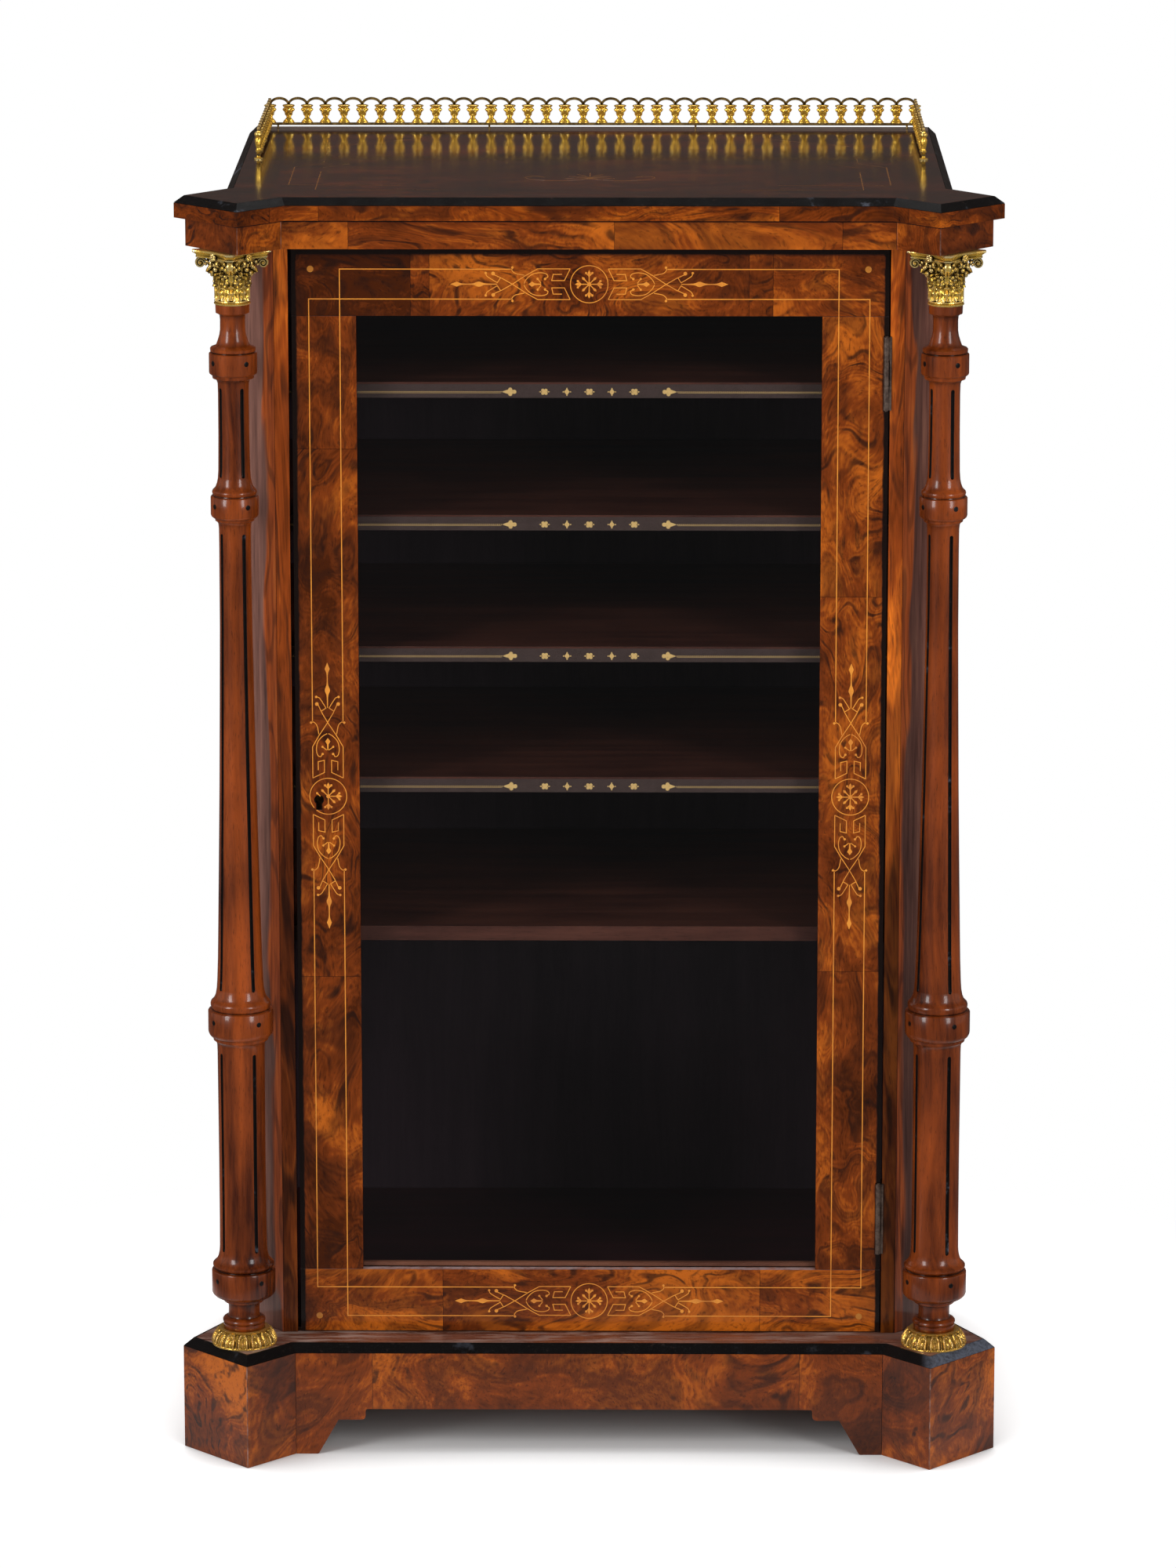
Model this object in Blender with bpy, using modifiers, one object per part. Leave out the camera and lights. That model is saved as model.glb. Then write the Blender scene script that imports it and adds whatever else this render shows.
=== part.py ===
"""Sheet music cabinet in burr walnut: plinth, glazed door, five shelves, two turned columns, gallery.

Metres, +Z up.  The origin is on the floor, in the middle of the cabinet's bounding box.
The front faces -Y.  Depths are measured back from the plane of the plinth's front, and the
empty named cabinet stands on that plane, so every piece is placed by its depth.
"""
import math

import bmesh
import bpy

# Clearances
GAP = 0.0003                    # left between two pieces that touch
OVERRUN = 0.004                 # a cutter stands this far past what it cuts

# Heights
PLINTH_HEIGHT = 0.086
PLINTH_MOULD_HEIGHT = 0.007
OPENING_HEIGHT = 0.902          # top of the plinth to the underside of the frieze
FRIEZE_HEIGHT = 0.023
SLAB_HEIGHT = 0.012
SLAB_MOULD_HEIGHT = 0.006

# Depths and widths of the carcass
CARCASS_DEPTH = 0.412           # plane of the plinth's front to the back of the carcass
SLAB_BACK_OVERHANG = 0.012
STILE_DEPTH = 0.036             # plane of the door's face, behind the plinth's front
OPENING_HALF_WIDTH = 0.2394     # door opening, between the front stiles; sets every other width
STILE_WIDTH = 0.0113
STILE_THICKNESS = 0.019
CANT_RUN = 0.0303               # canted corner, across the front
CANT_RISE = 0.034               # canted corner, from the stile's face to the side
CANT_THICKNESS = 0.014
SIDE_THICKNESS = 0.016
BOARD_THICKNESS = 0.015
BACK_THICKNESS = 0.008
BACK_RECESS = 0.002

# The columns' axes, and the outlines of the three corner blocks about them
COLUMN_OUTSET = 0.0424          # edge of the door opening to the column's axis
COLUMN_DEPTH = 0.009
PLINTH_NOSE = (-0.0043, -0.0465)    # front corner of the block, from the column's axis
PLINTH_WING = (0.0507, 0.0110)      # outer corner of the block, from the column's axis
PLINTH_FRONT_DEPTH = 0.0
PLINTH_SIDE_PROUD = 0.015       # plane of the side, outside the carcass
PLINTH_JOIN_DEPTH = 0.088
FRIEZE_NOSE = (-0.0062, -0.0330)
FRIEZE_WING = (0.0377, 0.0180)
FRIEZE_FRONT_DEPTH = 0.009
FRIEZE_SIDE_PROUD = 0.001
FRIEZE_JOIN_DEPTH = 0.068
SLAB_NOSE = (-0.0063, -0.0410)
SLAB_WING = (0.0462, 0.0120)
SLAB_FRONT_DEPTH = 0.004
SLAB_SIDE_PROUD = 0.009
SLAB_JOIN_DEPTH = 0.064

# Plinth
PLINTH_BOARD = 0.018
BLOCK_INNER_DEPTH = 0.050       # where the block's back slopes off behind the apron
PLINTH_CHAMFER = 0.007
PLINTH_MOULD_WIDTH = 0.0085
APRON_TOE_INSET = 0.0179        # insets are from the edge of the door opening
APRON_STEP_INSET = 0.0344
APRON_STEP_HEIGHT = 0.0292
APRON_ARCH_INSET = 0.0566
APRON_ARCH_HEIGHT = 0.0384
APRON_TOE_RADIUS = 0.0015
APRON_CUSP_RADIUS = 0.0040
APRON_ARCH_RADIUS = 0.0020

# Frieze and top
FRIEZE_BOARD = 0.018
FRIEZE_INNER_DEPTH = 0.040
SLAB_CHAMFER = 0.006
SLAB_MOULD_WIDTH = 0.0072

# Shelves
SHELF_THICKNESS = 0.012
TOP_SHELF_DROP = 0.115          # underside of the frieze to the first shelf's top
SHELF_PITCH = 0.108
LOW_SHELF_PITCH = 0.125
SHELF_DEPTH_START = 0.0615
HOUSING_DEPTH = 0.006
LEATHER_HEIGHT = 0.0126
LEATHER_THICKNESS = 0.0012
LEATHER_END = 0.001             # the strip stops this short of the shelf's corner
PIECE_NAMES = ("first", "second", "third", "fourth", "fifth")

# Door
DOOR_THICKNESS = 0.019
DOOR_LOCK_GAP = 0.0028
DOOR_HINGE_GAP = 0.0012
DOOR_BOTTOM_GAP = 0.0015
DOOR_TOP_GAP = 0.002
DOOR_TOP_RAIL = 0.0555
DOOR_BOTTOM_RAIL = 0.0525
SIGHT_INSET = 0.0541            # edge of the door opening to the edge of the glass
REBATE_WIDTH = 0.008
REBATE_FACE = 0.007             # wood left in front of the glass
GLASS_THICKNESS = 0.002
BEAD_THICKNESS = 0.0075
BEAD_WIDTH = 0.006

# Hinges
HINGE_LENGTH = 0.059
HINGE_TOP_INSET = 0.072         # door's top edge to the upper hinge
HINGE_BOTTOM_INSET = 0.067
KNUCKLE_RADIUS = 0.0022
KNUCKLE_BORE = 0.0014
PIN_RADIUS = 0.0011
PIN_PROUD = 0.0008
HINGE_AXIS_FROM_EDGE = 0.0019   # axis to the door's edge, sideways
HINGE_AXIS_PROUD = 0.0012       # axis in front of the door's face
LEAF_THICKNESS = 0.0014
LEAF_PROUD = 0.0004             # leaf stands out of its recess
LEAF_DEPTH = 0.016
LEAF_START = 0.0014             # behind the face, where the door's leaf starts
LUG_INNER = 0.0016              # axis to the near side of the carcass leaf's lug
DOOR_LUG_INNER = 0.0012
LUG_FRONT = 0.0004
LUG_BACK = 0.0009
NOTCH_CLEARANCE = 0.0004

# Lock
LOCK_WIDTH = 0.034
LOCK_HEIGHT = 0.050
LOCK_THICKNESS = 0.009
LOCK_WALL = 0.0018
LOCK_HEIGHT_SHARE = 0.4985      # keyhole's height, as a share of the door's
KEYHOLE_FROM_EDGE = 0.0185
BOLT_HEIGHT = 0.0194
BOLT_LENGTH = 0.0225
BOLT_THROW = 0.007
BOLT_BACK_ROOM = 0.004
STRIKE_HEIGHT = 0.034
STRIKE_WIDTH = 0.012
STRIKE_THICKNESS = 0.001
STRIKE_MARGIN = 0.001           # hole in the strike plate, past the bolt all round
POCKET_DEPTH = 0.0092
KEYHOLE_EYE_RADIUS = 0.0030
KEYHOLE_SLOT_HALF = 0.0014
KEYHOLE_DROP = 0.0075           # eye's centre to the foot of the slot
LINING_WALL = 0.0007
LINING_LENGTH = 0.004

# Columns, with their profile as shares of the shaft's height and of its widest radius
COLUMN_RADIUS = 0.0263
CAPITAL_HEIGHT = 0.0434
CAPITAL_RADIUS = 0.0314
CAPITAL_ABACUS_HEIGHT = 0.0072
CAPITAL_ABACUS_WAIST = 0.0190
CAPITAL_VOLUTE_RADIUS = 0.0052
CAPITAL_VOLUTE_WIDTH = 0.0085
CAPITAL_VOLUTE_REACH = 0.0235
RING_RADIUS = 0.0270
RING_HEIGHT = 0.0130
SPIGOT_RADIUS = 0.0120
SHAFT_STEPS = 20
SHAFT_SHARES = (
    (1.000, 0.510), (0.992, 0.510), (0.990, 0.380), (0.974, 0.380), (0.964, 0.494),
    (0.961, 0.654), (0.956, 0.662), (0.954, 0.719), (0.936, 0.719), (0.929, 0.510),
    (0.922, 0.464), (0.860, 0.456), (0.831, 0.525), (0.826, 0.669), (0.821, 0.700),
    (0.818, 0.734), (0.800, 0.734), (0.792, 0.513), (0.768, 0.502), (0.681, 0.521),
    (0.561, 0.574), (0.439, 0.646), (0.358, 0.719), (0.344, 0.768), (0.336, 0.920),
    (0.332, 1.000), (0.306, 1.000), (0.299, 0.760), (0.288, 0.719), (0.203, 0.703),
    (0.098, 0.734), (0.088, 0.783), (0.082, 0.935), (0.078, 0.992), (0.054, 0.992),
    (0.044, 0.779), (0.042, 0.517), (0.036, 0.479), (0.028, 0.510), (0.026, 0.631),
    (0.021, 0.665), (0.016, 0.658))
BELL_SHARES = (
    (1.00, 0.67), (0.86, 0.60), (0.70, 0.45), (0.52, 0.48), (0.34, 0.42), (0.13, 0.41),
    (0.10, 0.465), (0.00, 0.465))
RING_SHARES = ((1.00, 0.64), (0.93, 0.72), (0.62, 0.88), (0.28, 1.00), (0.00, 0.98))

# Gallery, with one bay's opening as shares of the pitch and of the gallery's height
GALLERY_HEIGHT = 0.026
GALLERY_THICKNESS = 0.0024
GALLERY_SIDE_INSET = 0.017      # slab's side to the gallery
GALLERY_BACK_INSET = 0.012
GALLERY_BAYS_BACK = 35
GALLERY_BAYS_SIDE = 12
GALLERY_FOOT_HEIGHT = 0.0019
GALLERY_FOOT_HALF = 0.0020
POST_RADIUS = 0.0032
POST_STEPS = 10
BACK_FOOT_SHARES = (0.01, 0.34, 0.66, 0.99)
SIDE_FOOT_SHARES = (0.02, 0.36, 0.68, 0.98)
BAY_HOLE_SHARES = ((0.195, 0.20), (0.38, 0.37), (0.30, 0.54), (0.185, 0.71), (0.40, 0.785),
                   (0.29, 0.90), (0.0, 0.945))
BAY_TOP_SHARES = ((-0.50, 0.80), (-0.36, 0.935), (0.0, 1.0), (0.36, 0.935))
POST_SHARES = ((1.00, 0.55), (0.90, 0.95), (0.80, 0.60), (0.30, 0.45), (0.16, 0.75),
               (0.10, 1.00), (0.00, 1.00))

# Heights and places that follow
ledge = PLINTH_HEIGHT + PLINTH_MOULD_HEIGHT
frieze_bottom = ledge + OPENING_HEIGHT
frieze_top = frieze_bottom + FRIEZE_HEIGHT
slab_top = frieze_top + SLAB_HEIGHT
cabinet_top = slab_top + SLAB_MOULD_HEIGHT
slab_back = CARCASS_DEPTH + SLAB_BACK_OVERHANG
front_plane_y = -(slab_back + COLUMN_DEPTH + PLINTH_NOSE[1]) / 2
stile_outer = OPENING_HALF_WIDTH + STILE_WIDTH
carcass_half_width = stile_outer + CANT_RUN
cant_end_depth = STILE_DEPTH + CANT_RISE
column_x = OPENING_HALF_WIDTH + COLUMN_OUTSET
plinth_side_x = carcass_half_width + PLINTH_SIDE_PROUD
frieze_side_x = carcass_half_width + FRIEZE_SIDE_PROUD
slab_side_x = carcass_half_width + SLAB_SIDE_PROUD
sight_half_width = OPENING_HALF_WIDTH - SIGHT_INSET
door_left = -OPENING_HALF_WIDTH + DOOR_LOCK_GAP
door_right = OPENING_HALF_WIDTH - DOOR_HINGE_GAP
door_bottom = ledge + DOOR_BOTTOM_GAP
door_top = frieze_bottom - DOOR_TOP_GAP
door_back = STILE_DEPTH + DOOR_THICKNESS
sight_bottom = door_bottom + DOOR_BOTTOM_RAIL
sight_top = door_top - DOOR_TOP_RAIL
hinge_x = door_right - HINGE_AXIS_FROM_EDGE
hinge_depth = STILE_DEPTH - HINGE_AXIS_PROUD
lock_height = door_bottom + LOCK_HEIGHT_SHARE * (door_top - door_bottom)
inside_x = carcass_half_width - SIDE_THICKNESS
shelf_back = CARCASS_DEPTH - BACK_RECESS - BACK_THICKNESS


def clear_scene():
    for item in list(bpy.data.objects):
        bpy.data.objects.remove(item, do_unlink=True)


def make_collection(name):
    collection = bpy.data.collections.new(name)
    bpy.context.scene.collection.children.link(collection)
    return collection


def make_material(name, colour, roughness, metallic=0.0):
    material = bpy.data.materials.new(name)
    material.use_nodes = True
    shader = material.node_tree.nodes["Principled BSDF"]
    shader.inputs["Base Color"].default_value = (*colour, 1.0)
    shader.inputs["Roughness"].default_value = roughness
    shader.inputs["Metallic"].default_value = metallic
    material.diffuse_color = (*colour, 1.0)
    return material


clear_scene()
PARTS = make_collection("sheet_music_cabinet")
CUTTERS = make_collection("cutters")

BURR = make_material("burr_walnut", (0.30, 0.11, 0.035), 0.22)
WALNUT = make_material("straight_walnut", (0.22, 0.09, 0.035), 0.28)
CARCASS_WOOD = make_material("mahogany_carcass", (0.16, 0.045, 0.025), 0.45)
COLUMN_WOOD = make_material("turned_walnut", (0.24, 0.07, 0.03), 0.25)
EBONISED = make_material("ebonised", (0.012, 0.010, 0.010), 0.25)
GILT = make_material("gilt_brass", (0.75, 0.50, 0.16), 0.30, 1.0)
AGED_METAL = make_material("aged_hinge_steel", (0.22, 0.20, 0.18), 0.42, 1.0)
LOCK_BRASS = make_material("lock_brass", (0.45, 0.33, 0.15), 0.38, 1.0)
LEATHER = make_material("dark_leather", (0.055, 0.045, 0.040), 0.60)
GLASS = make_material("old_glass", (0.75, 0.80, 0.78), 0.05)


def make_empty(name, location, parent=None):
    empty = bpy.data.objects.new(name, None)
    empty.location = location
    empty.parent = parent
    PARTS.objects.link(empty)
    return empty


CABINET = make_empty("cabinet", (0, front_plane_y, 0))
DOOR = make_empty("door_axis", (hinge_x, hinge_depth, 0), CABINET)


def finish(item, material, parent, cutter=False):
    """Give a piece its material and parent; its place so far is in the cabinet's frame."""
    item.data.materials.clear()
    item.data.materials.append(material)
    if parent is DOOR:
        item.location -= DOOR.location
    item.parent = parent
    (CUTTERS if cutter else PARTS).objects.link(item)
    if cutter:
        item.hide_render = True
        item.display_type = "WIRE"
    return item


def box(name, x, depth, z, material=WALNUT, parent=CABINET, cutter=False):
    """A box between two values on each axis, with its origin in its middle."""
    shape = bmesh.new()
    bmesh.ops.create_cube(shape, size=1.0)
    size = (x[1] - x[0], depth[1] - depth[0], z[1] - z[0])
    bmesh.ops.scale(shape, vec=size, verts=shape.verts)
    mesh = bpy.data.meshes.new(name)
    shape.to_mesh(mesh)
    shape.free()
    item = bpy.data.objects.new(name, mesh)
    item.location = ((x[0] + x[1]) / 2, (depth[0] + depth[1]) / 2, (z[0] + z[1]) / 2)
    return finish(item, material, parent, cutter)


TURNS = {"X": (math.pi / 2, 0, math.pi / 2), "Y": (math.pi / 2, 0, 0), "Z": (0, 0, 0)}


def plate(name, loops, axis, start, end, material=WALNUT, parent=CABINET, cutter=False):
    """A flat outline, with its holes, given thickness along an axis from start to end."""
    curve = bpy.data.curves.new(name, "CURVE")
    curve.dimensions = "2D"
    curve.fill_mode = "BOTH"
    curve.extrude = (end - start) / 2
    for loop in loops:
        spline = curve.splines.new("POLY")
        spline.points.add(len(loop) - 1)
        for point, place in zip(spline.points, loop):
            point.co = (*place, 0, 1)
        spline.use_cyclic_u = True
    guide = bpy.data.objects.new(name + "_outline", curve)
    middle = (start + end) / 2
    guide.location = {"X": (middle, 0, 0), "Y": (0, middle, 0), "Z": (0, 0, middle)}[axis]
    guide.rotation_euler = TURNS[axis]
    CUTTERS.objects.link(guide)
    bpy.context.view_layer.update()
    graph = bpy.context.evaluated_depsgraph_get()
    mesh = bpy.data.meshes.new_from_object(guide.evaluated_get(graph))
    mesh.name = name
    shape = bmesh.new()
    shape.from_mesh(mesh)
    bmesh.ops.remove_doubles(shape, verts=shape.verts, dist=GAP / 100)
    bmesh.ops.recalc_face_normals(shape, faces=shape.faces)
    shape.to_mesh(mesh)
    shape.free()
    item = bpy.data.objects.new(name, mesh)
    item.matrix_world = guide.matrix_world
    bpy.data.objects.remove(guide, do_unlink=True)
    return finish(item, material, parent, cutter)


def stepped(name, sections, material=WALNUT, parent=CABINET, cutter=False):
    """A solid through level sections, each an outline of as many points and its height."""
    shape = bmesh.new()
    rings = [[shape.verts.new((*point, height)) for point in outline] for outline, height in sections]
    for below, above in zip(rings, rings[1:]):
        for i in range(len(below)):
            shape.faces.new((below[i - 1], below[i], above[i], above[i - 1]))
    shape.faces.new(rings[0])
    shape.faces.new(rings[-1])
    bmesh.ops.recalc_face_normals(shape, faces=shape.faces)
    mesh = bpy.data.meshes.new(name)
    shape.to_mesh(mesh)
    shape.free()
    return finish(bpy.data.objects.new(name, mesh), material, parent, cutter)


def turned(name, profile, location, steps, material, parent=CABINET, cutter=False):
    """Turn a profile of (radius, height) points, given down its outer side, about Z."""
    mesh = bpy.data.meshes.new(name)
    closed = profile[0] == profile[-1]
    points = [(radius, 0, height) for radius, height in (profile[1:] if closed else profile)]
    edges = [(i - 1 if i else len(points) - 1, i) for i in range(0 if closed else 1, len(points))]
    mesh.from_pydata(points, edges, [])
    item = bpy.data.objects.new(name, mesh)
    item.location = location
    screw = item.modifiers.new("turn", "SCREW")
    screw.steps = steps
    screw.render_steps = steps
    screw.use_merge_vertices = True
    screw.merge_threshold = GAP / 10
    screw.use_normal_calculate = False
    screw.use_smooth_shade = True
    return finish(item, material, parent, cutter)


def combine(item, tool, operation="DIFFERENCE"):
    change = item.modifiers.new(tool.name, "BOOLEAN")
    change.operation = operation
    change.solver = "EXACT"
    change.object = tool
    return item


def mirrored(outline, side):
    """The outline as given for the right side (1), or mirrored for the left (-1)."""
    return [(side * x, y) for x, y in outline]


def block_points(nose, wing, front_depth, side_x, join_depth):
    """Inner, front, outer and rear corners of the right-hand corner block's visible faces."""
    nose_x, nose_depth = column_x + nose[0], COLUMN_DEPTH + nose[1]
    inner_x = nose_x - (front_depth - nose_depth)
    wing_x, wing_depth = column_x + wing[0], COLUMN_DEPTH + wing[1]
    return [(inner_x, front_depth), (nose_x, nose_depth), (wing_x, wing_depth), (side_x, join_depth)]


def level_outline(block, back_depth):
    """The whole outline of one level, with a corner block at each front corner."""
    right = block + [(block[-1][0], back_depth)]
    left = mirrored(reversed(right), -1)
    return left + right


def inset(outline, distances):
    """Move each edge of an outline inwards by its own distance; edge i ends at point i + 1."""
    count = len(outline)
    lines = []
    for i in range(count):
        (x0, y0), (x1, y1) = outline[i], outline[(i + 1) % count]
        length = math.hypot(x1 - x0, y1 - y0)
        nx, ny = -(y1 - y0) / length, (x1 - x0) / length
        lines.append((nx, ny, nx * x0 + ny * y0 + distances[i]))
    points = []
    for i in range(count):
        a, b, c = lines[i - 1]
        d, e, f = lines[i]
        det = a * e - b * d
        points.append(((c * e - b * f) / det, (a * f - c * d) / det))
    return points


PLINTH_BLOCK = block_points(PLINTH_NOSE, PLINTH_WING, PLINTH_FRONT_DEPTH, plinth_side_x,
                            PLINTH_JOIN_DEPTH)
FRIEZE_BLOCK = block_points(FRIEZE_NOSE, FRIEZE_WING, FRIEZE_FRONT_DEPTH, frieze_side_x,
                            FRIEZE_JOIN_DEPTH)
SLAB_BLOCK = block_points(SLAB_NOSE, SLAB_WING, SLAB_FRONT_DEPTH, slab_side_x, SLAB_JOIN_DEPTH)


def moulding_sections(block, back_depth, chamfer, width):
    """Outlines of a level's edge, of its moulding's upper arris and of the board inside it."""
    edge = level_outline(block, back_depth)
    sides = [1.0] * (len(edge) - 1) + [0.0]
    upper = inset(edge, [chamfer * side for side in sides])
    board = inset(edge, [width * side for side in sides])
    wall = inset(edge, [(width - GAP) * side for side in sides[:-1]] + [-OVERRUN])
    return edge, upper, board, wall


def rounded(before, corner, after, radius, count=5):
    """The corner's points, rounded by a radius between the points before and after it."""
    if not radius:
        return [corner]
    ends = []
    for end in (before, after):
        length = math.dist(corner, end)
        ends.append(((end[0] - corner[0]) / length, (end[1] - corner[1]) / length))
    (ax, ay), (bx, by) = ends
    turn = math.acos(ax * bx + ay * by)
    reach = radius / math.tan(turn / 2)
    start = (corner[0] + ax * reach, corner[1] + ay * reach)
    end = (corner[0] + bx * reach, corner[1] + by * reach)
    points = []
    for i in range(count):
        share = i / (count - 1)
        near, far = (1 - share) ** 2, share ** 2
        middle = 2 * share * (1 - share)
        points.append(tuple(near * start[k] + middle * corner[k] + far * end[k] for k in (0, 1)))
    return points


def make_plinth():
    inner_x = PLINTH_BLOCK[0][0]
    board_x = plinth_side_x - PLINTH_BOARD
    for side, word in ((-1, "left"), (1, "right")):
        block = PLINTH_BLOCK + [(board_x, PLINTH_JOIN_DEPTH), (inner_x, BLOCK_INNER_DEPTH)]
        plate("plinth_block_" + word, [mirrored(block, side)], "Z", 0, PLINTH_HEIGHT, BURR)
        x = sorted((side * board_x, side * plinth_side_x))
        box("plinth_side_" + word, x, (PLINTH_JOIN_DEPTH + GAP, CARCASS_DEPTH), (0, PLINTH_HEIGHT))
    edge = OPENING_HALF_WIDTH
    corners = [(edge, 0), (edge - APRON_TOE_INSET, 0), (edge - APRON_STEP_INSET, APRON_STEP_HEIGHT),
               (edge - APRON_ARCH_INSET, APRON_STEP_HEIGHT), (edge - APRON_ARCH_INSET, APRON_ARCH_HEIGHT),
               (0, APRON_ARCH_HEIGHT)]
    radii = [APRON_TOE_RADIUS, 0, APRON_CUSP_RADIUS, APRON_ARCH_RADIUS]
    half = []
    for i, radius in enumerate(radii):
        half += rounded(*corners[i:i + 3], radius)
    end_x = inner_x - GAP
    outline = mirrored(half, -1) + list(reversed(half))
    outline += [(end_x, 0), (end_x, PLINTH_HEIGHT), (-end_x, PLINTH_HEIGHT), (-end_x, 0)]
    plate("plinth_front", [outline], "Y", PLINTH_FRONT_DEPTH, PLINTH_FRONT_DEPTH + PLINTH_BOARD, BURR)
    box("plinth_back", (-board_x + GAP, board_x - GAP), (CARCASS_DEPTH - PLINTH_BOARD, CARCASS_DEPTH),
        (0, PLINTH_HEIGHT), CARCASS_WOOD)
    edge, upper, board, wall = moulding_sections(PLINTH_BLOCK, CARCASS_DEPTH, PLINTH_CHAMFER,
                                                 PLINTH_MOULD_WIDTH)
    foot = PLINTH_HEIGHT + GAP
    plate("plinth_top_board", [board], "Z", foot, ledge, WALNUT)
    moulding = stepped("plinth_ebony_moulding", [(edge, foot), (upper, ledge)], EBONISED)
    combine(moulding, plate("plinth_moulding_cutter", [wall], "Z", foot - OVERRUN, ledge + OVERRUN,
                            cutter=True))


def make_frieze_and_top():
    inner_x = FRIEZE_BLOCK[0][0]
    board_x = frieze_side_x - FRIEZE_BOARD
    levels = (frieze_bottom, frieze_top)
    for side, word in ((-1, "left"), (1, "right")):
        block = FRIEZE_BLOCK + [(board_x, FRIEZE_JOIN_DEPTH), (inner_x, FRIEZE_INNER_DEPTH)]
        plate("frieze_block_" + word, [mirrored(block, side)], "Z", *levels, BURR)
        x = sorted((side * board_x, side * frieze_side_x))
        box("frieze_side_" + word, x, (FRIEZE_JOIN_DEPTH + GAP, CARCASS_DEPTH), levels)
    rail_back = FRIEZE_FRONT_DEPTH + FRIEZE_BOARD
    box("frieze_front", (-inner_x + GAP, inner_x - GAP), (FRIEZE_FRONT_DEPTH, rail_back), levels, BURR)
    half = [(inner_x - GAP, rail_back + GAP), (inner_x - GAP, FRIEZE_INNER_DEPTH + GAP),
            (board_x - GAP, FRIEZE_JOIN_DEPTH + GAP), (board_x - GAP, CARCASS_DEPTH)]
    plate("carcass_top", [mirrored(reversed(half), -1) + half], "Z", *levels, CARCASS_WOOD)
    edge, upper, board, wall = moulding_sections(SLAB_BLOCK, slab_back, SLAB_CHAMFER,
                                                 SLAB_MOULD_WIDTH)
    foot = frieze_top + GAP
    stepped("top_board", [(edge, foot), (edge, slab_top), (board, slab_top), (board, cabinet_top)], BURR)
    moulding = stepped("top_ebony_moulding", [(edge, slab_top + GAP), (upper, cabinet_top)], EBONISED)
    combine(moulding, plate("top_moulding_cutter", [wall], "Z", slab_top - OVERRUN,
                            cabinet_top + OVERRUN, cutter=True))


def cant_inner_line():
    """The canted corner's inner face: its depth at the stile's outer side, and its x at the end."""
    run = carcass_half_width - stile_outer - GAP
    rise = cant_end_depth - STILE_DEPTH
    length = math.hypot(run, rise)
    shift_x = CANT_THICKNESS * length / rise
    shift_depth = CANT_THICKNESS * length / run
    return STILE_DEPTH + shift_depth, carcass_half_width - shift_x


CANT_INNER_DEPTH, CANT_INNER_X = cant_inner_line()


def shelf_tops():
    first = frieze_bottom - TOP_SHELF_DROP
    tops = [first - i * SHELF_PITCH for i in range(4)]
    return tops + [tops[-1] - LOW_SHELF_PITCH]


def make_carcass():
    foot, head = ledge + GAP, frieze_bottom - GAP
    for side, word in ((-1, "left"), (1, "right")):
        x = sorted((side * inside_x, side * carcass_half_width))
        panel = box("carcass_side_" + word, x, (cant_end_depth + GAP, CARCASS_DEPTH), (foot, head))
        for number, top in zip(PIECE_NAMES, shelf_tops()):
            reach = sorted((side * (inside_x - OVERRUN), side * (inside_x + HOUSING_DEPTH)))
            housing = box(f"housing_{word}_{number}_cutter", reach,
                          (cant_end_depth - OVERRUN, shelf_back),
                          (top - SHELF_THICKNESS - GAP, top + GAP), cutter=True)
            combine(panel, housing)
        cant = [(stile_outer + GAP, STILE_DEPTH), (carcass_half_width, cant_end_depth),
                (CANT_INNER_X, cant_end_depth), (stile_outer + GAP, CANT_INNER_DEPTH)]
        plate("canted_corner_" + word, [mirrored(cant, side)], "Z", foot, head, WALNUT)
        x = sorted((side * OPENING_HALF_WIDTH, side * stile_outer))
        box("front_stile_" + word, x, (STILE_DEPTH, STILE_DEPTH + STILE_THICKNESS), (foot, head))
    half = [(stile_outer, door_back + GAP), (stile_outer, CANT_INNER_DEPTH + GAP),
            (CANT_INNER_X - GAP, cant_end_depth + GAP), (inside_x - GAP, cant_end_depth + GAP),
            (inside_x - GAP, shelf_back - GAP)]
    plate("carcass_bottom", [mirrored(reversed(half), -1) + half], "Z", foot, foot + BOARD_THICKNESS,
          CARCASS_WOOD)
    box("carcass_back", (-inside_x + GAP, inside_x - GAP), (shelf_back, shelf_back + BACK_THICKNESS),
        (foot, head), CARCASS_WOOD)


def make_shelves():
    housed_x = inside_x + HOUSING_DEPTH - GAP
    half = [(stile_outer - GAP, SHELF_DEPTH_START), (CANT_INNER_X - GAP, cant_end_depth + GAP),
            (housed_x, cant_end_depth + 2 * GAP), (housed_x, shelf_back - GAP)]
    outline = mirrored(reversed(half), -1) + half
    strip_x = stile_outer - GAP - LEATHER_END
    for number, top in zip(PIECE_NAMES, shelf_tops()):
        plate("shelf_" + number, [outline], "Z", top - SHELF_THICKNESS, top, CARCASS_WOOD)
        if number != PIECE_NAMES[-1]:
            strip_back = SHELF_DEPTH_START - GAP
            box("leather_fall_" + number, (-strip_x, strip_x),
                (strip_back - LEATHER_THICKNESS, strip_back), (top - LEATHER_HEIGHT, top), LEATHER)


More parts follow.
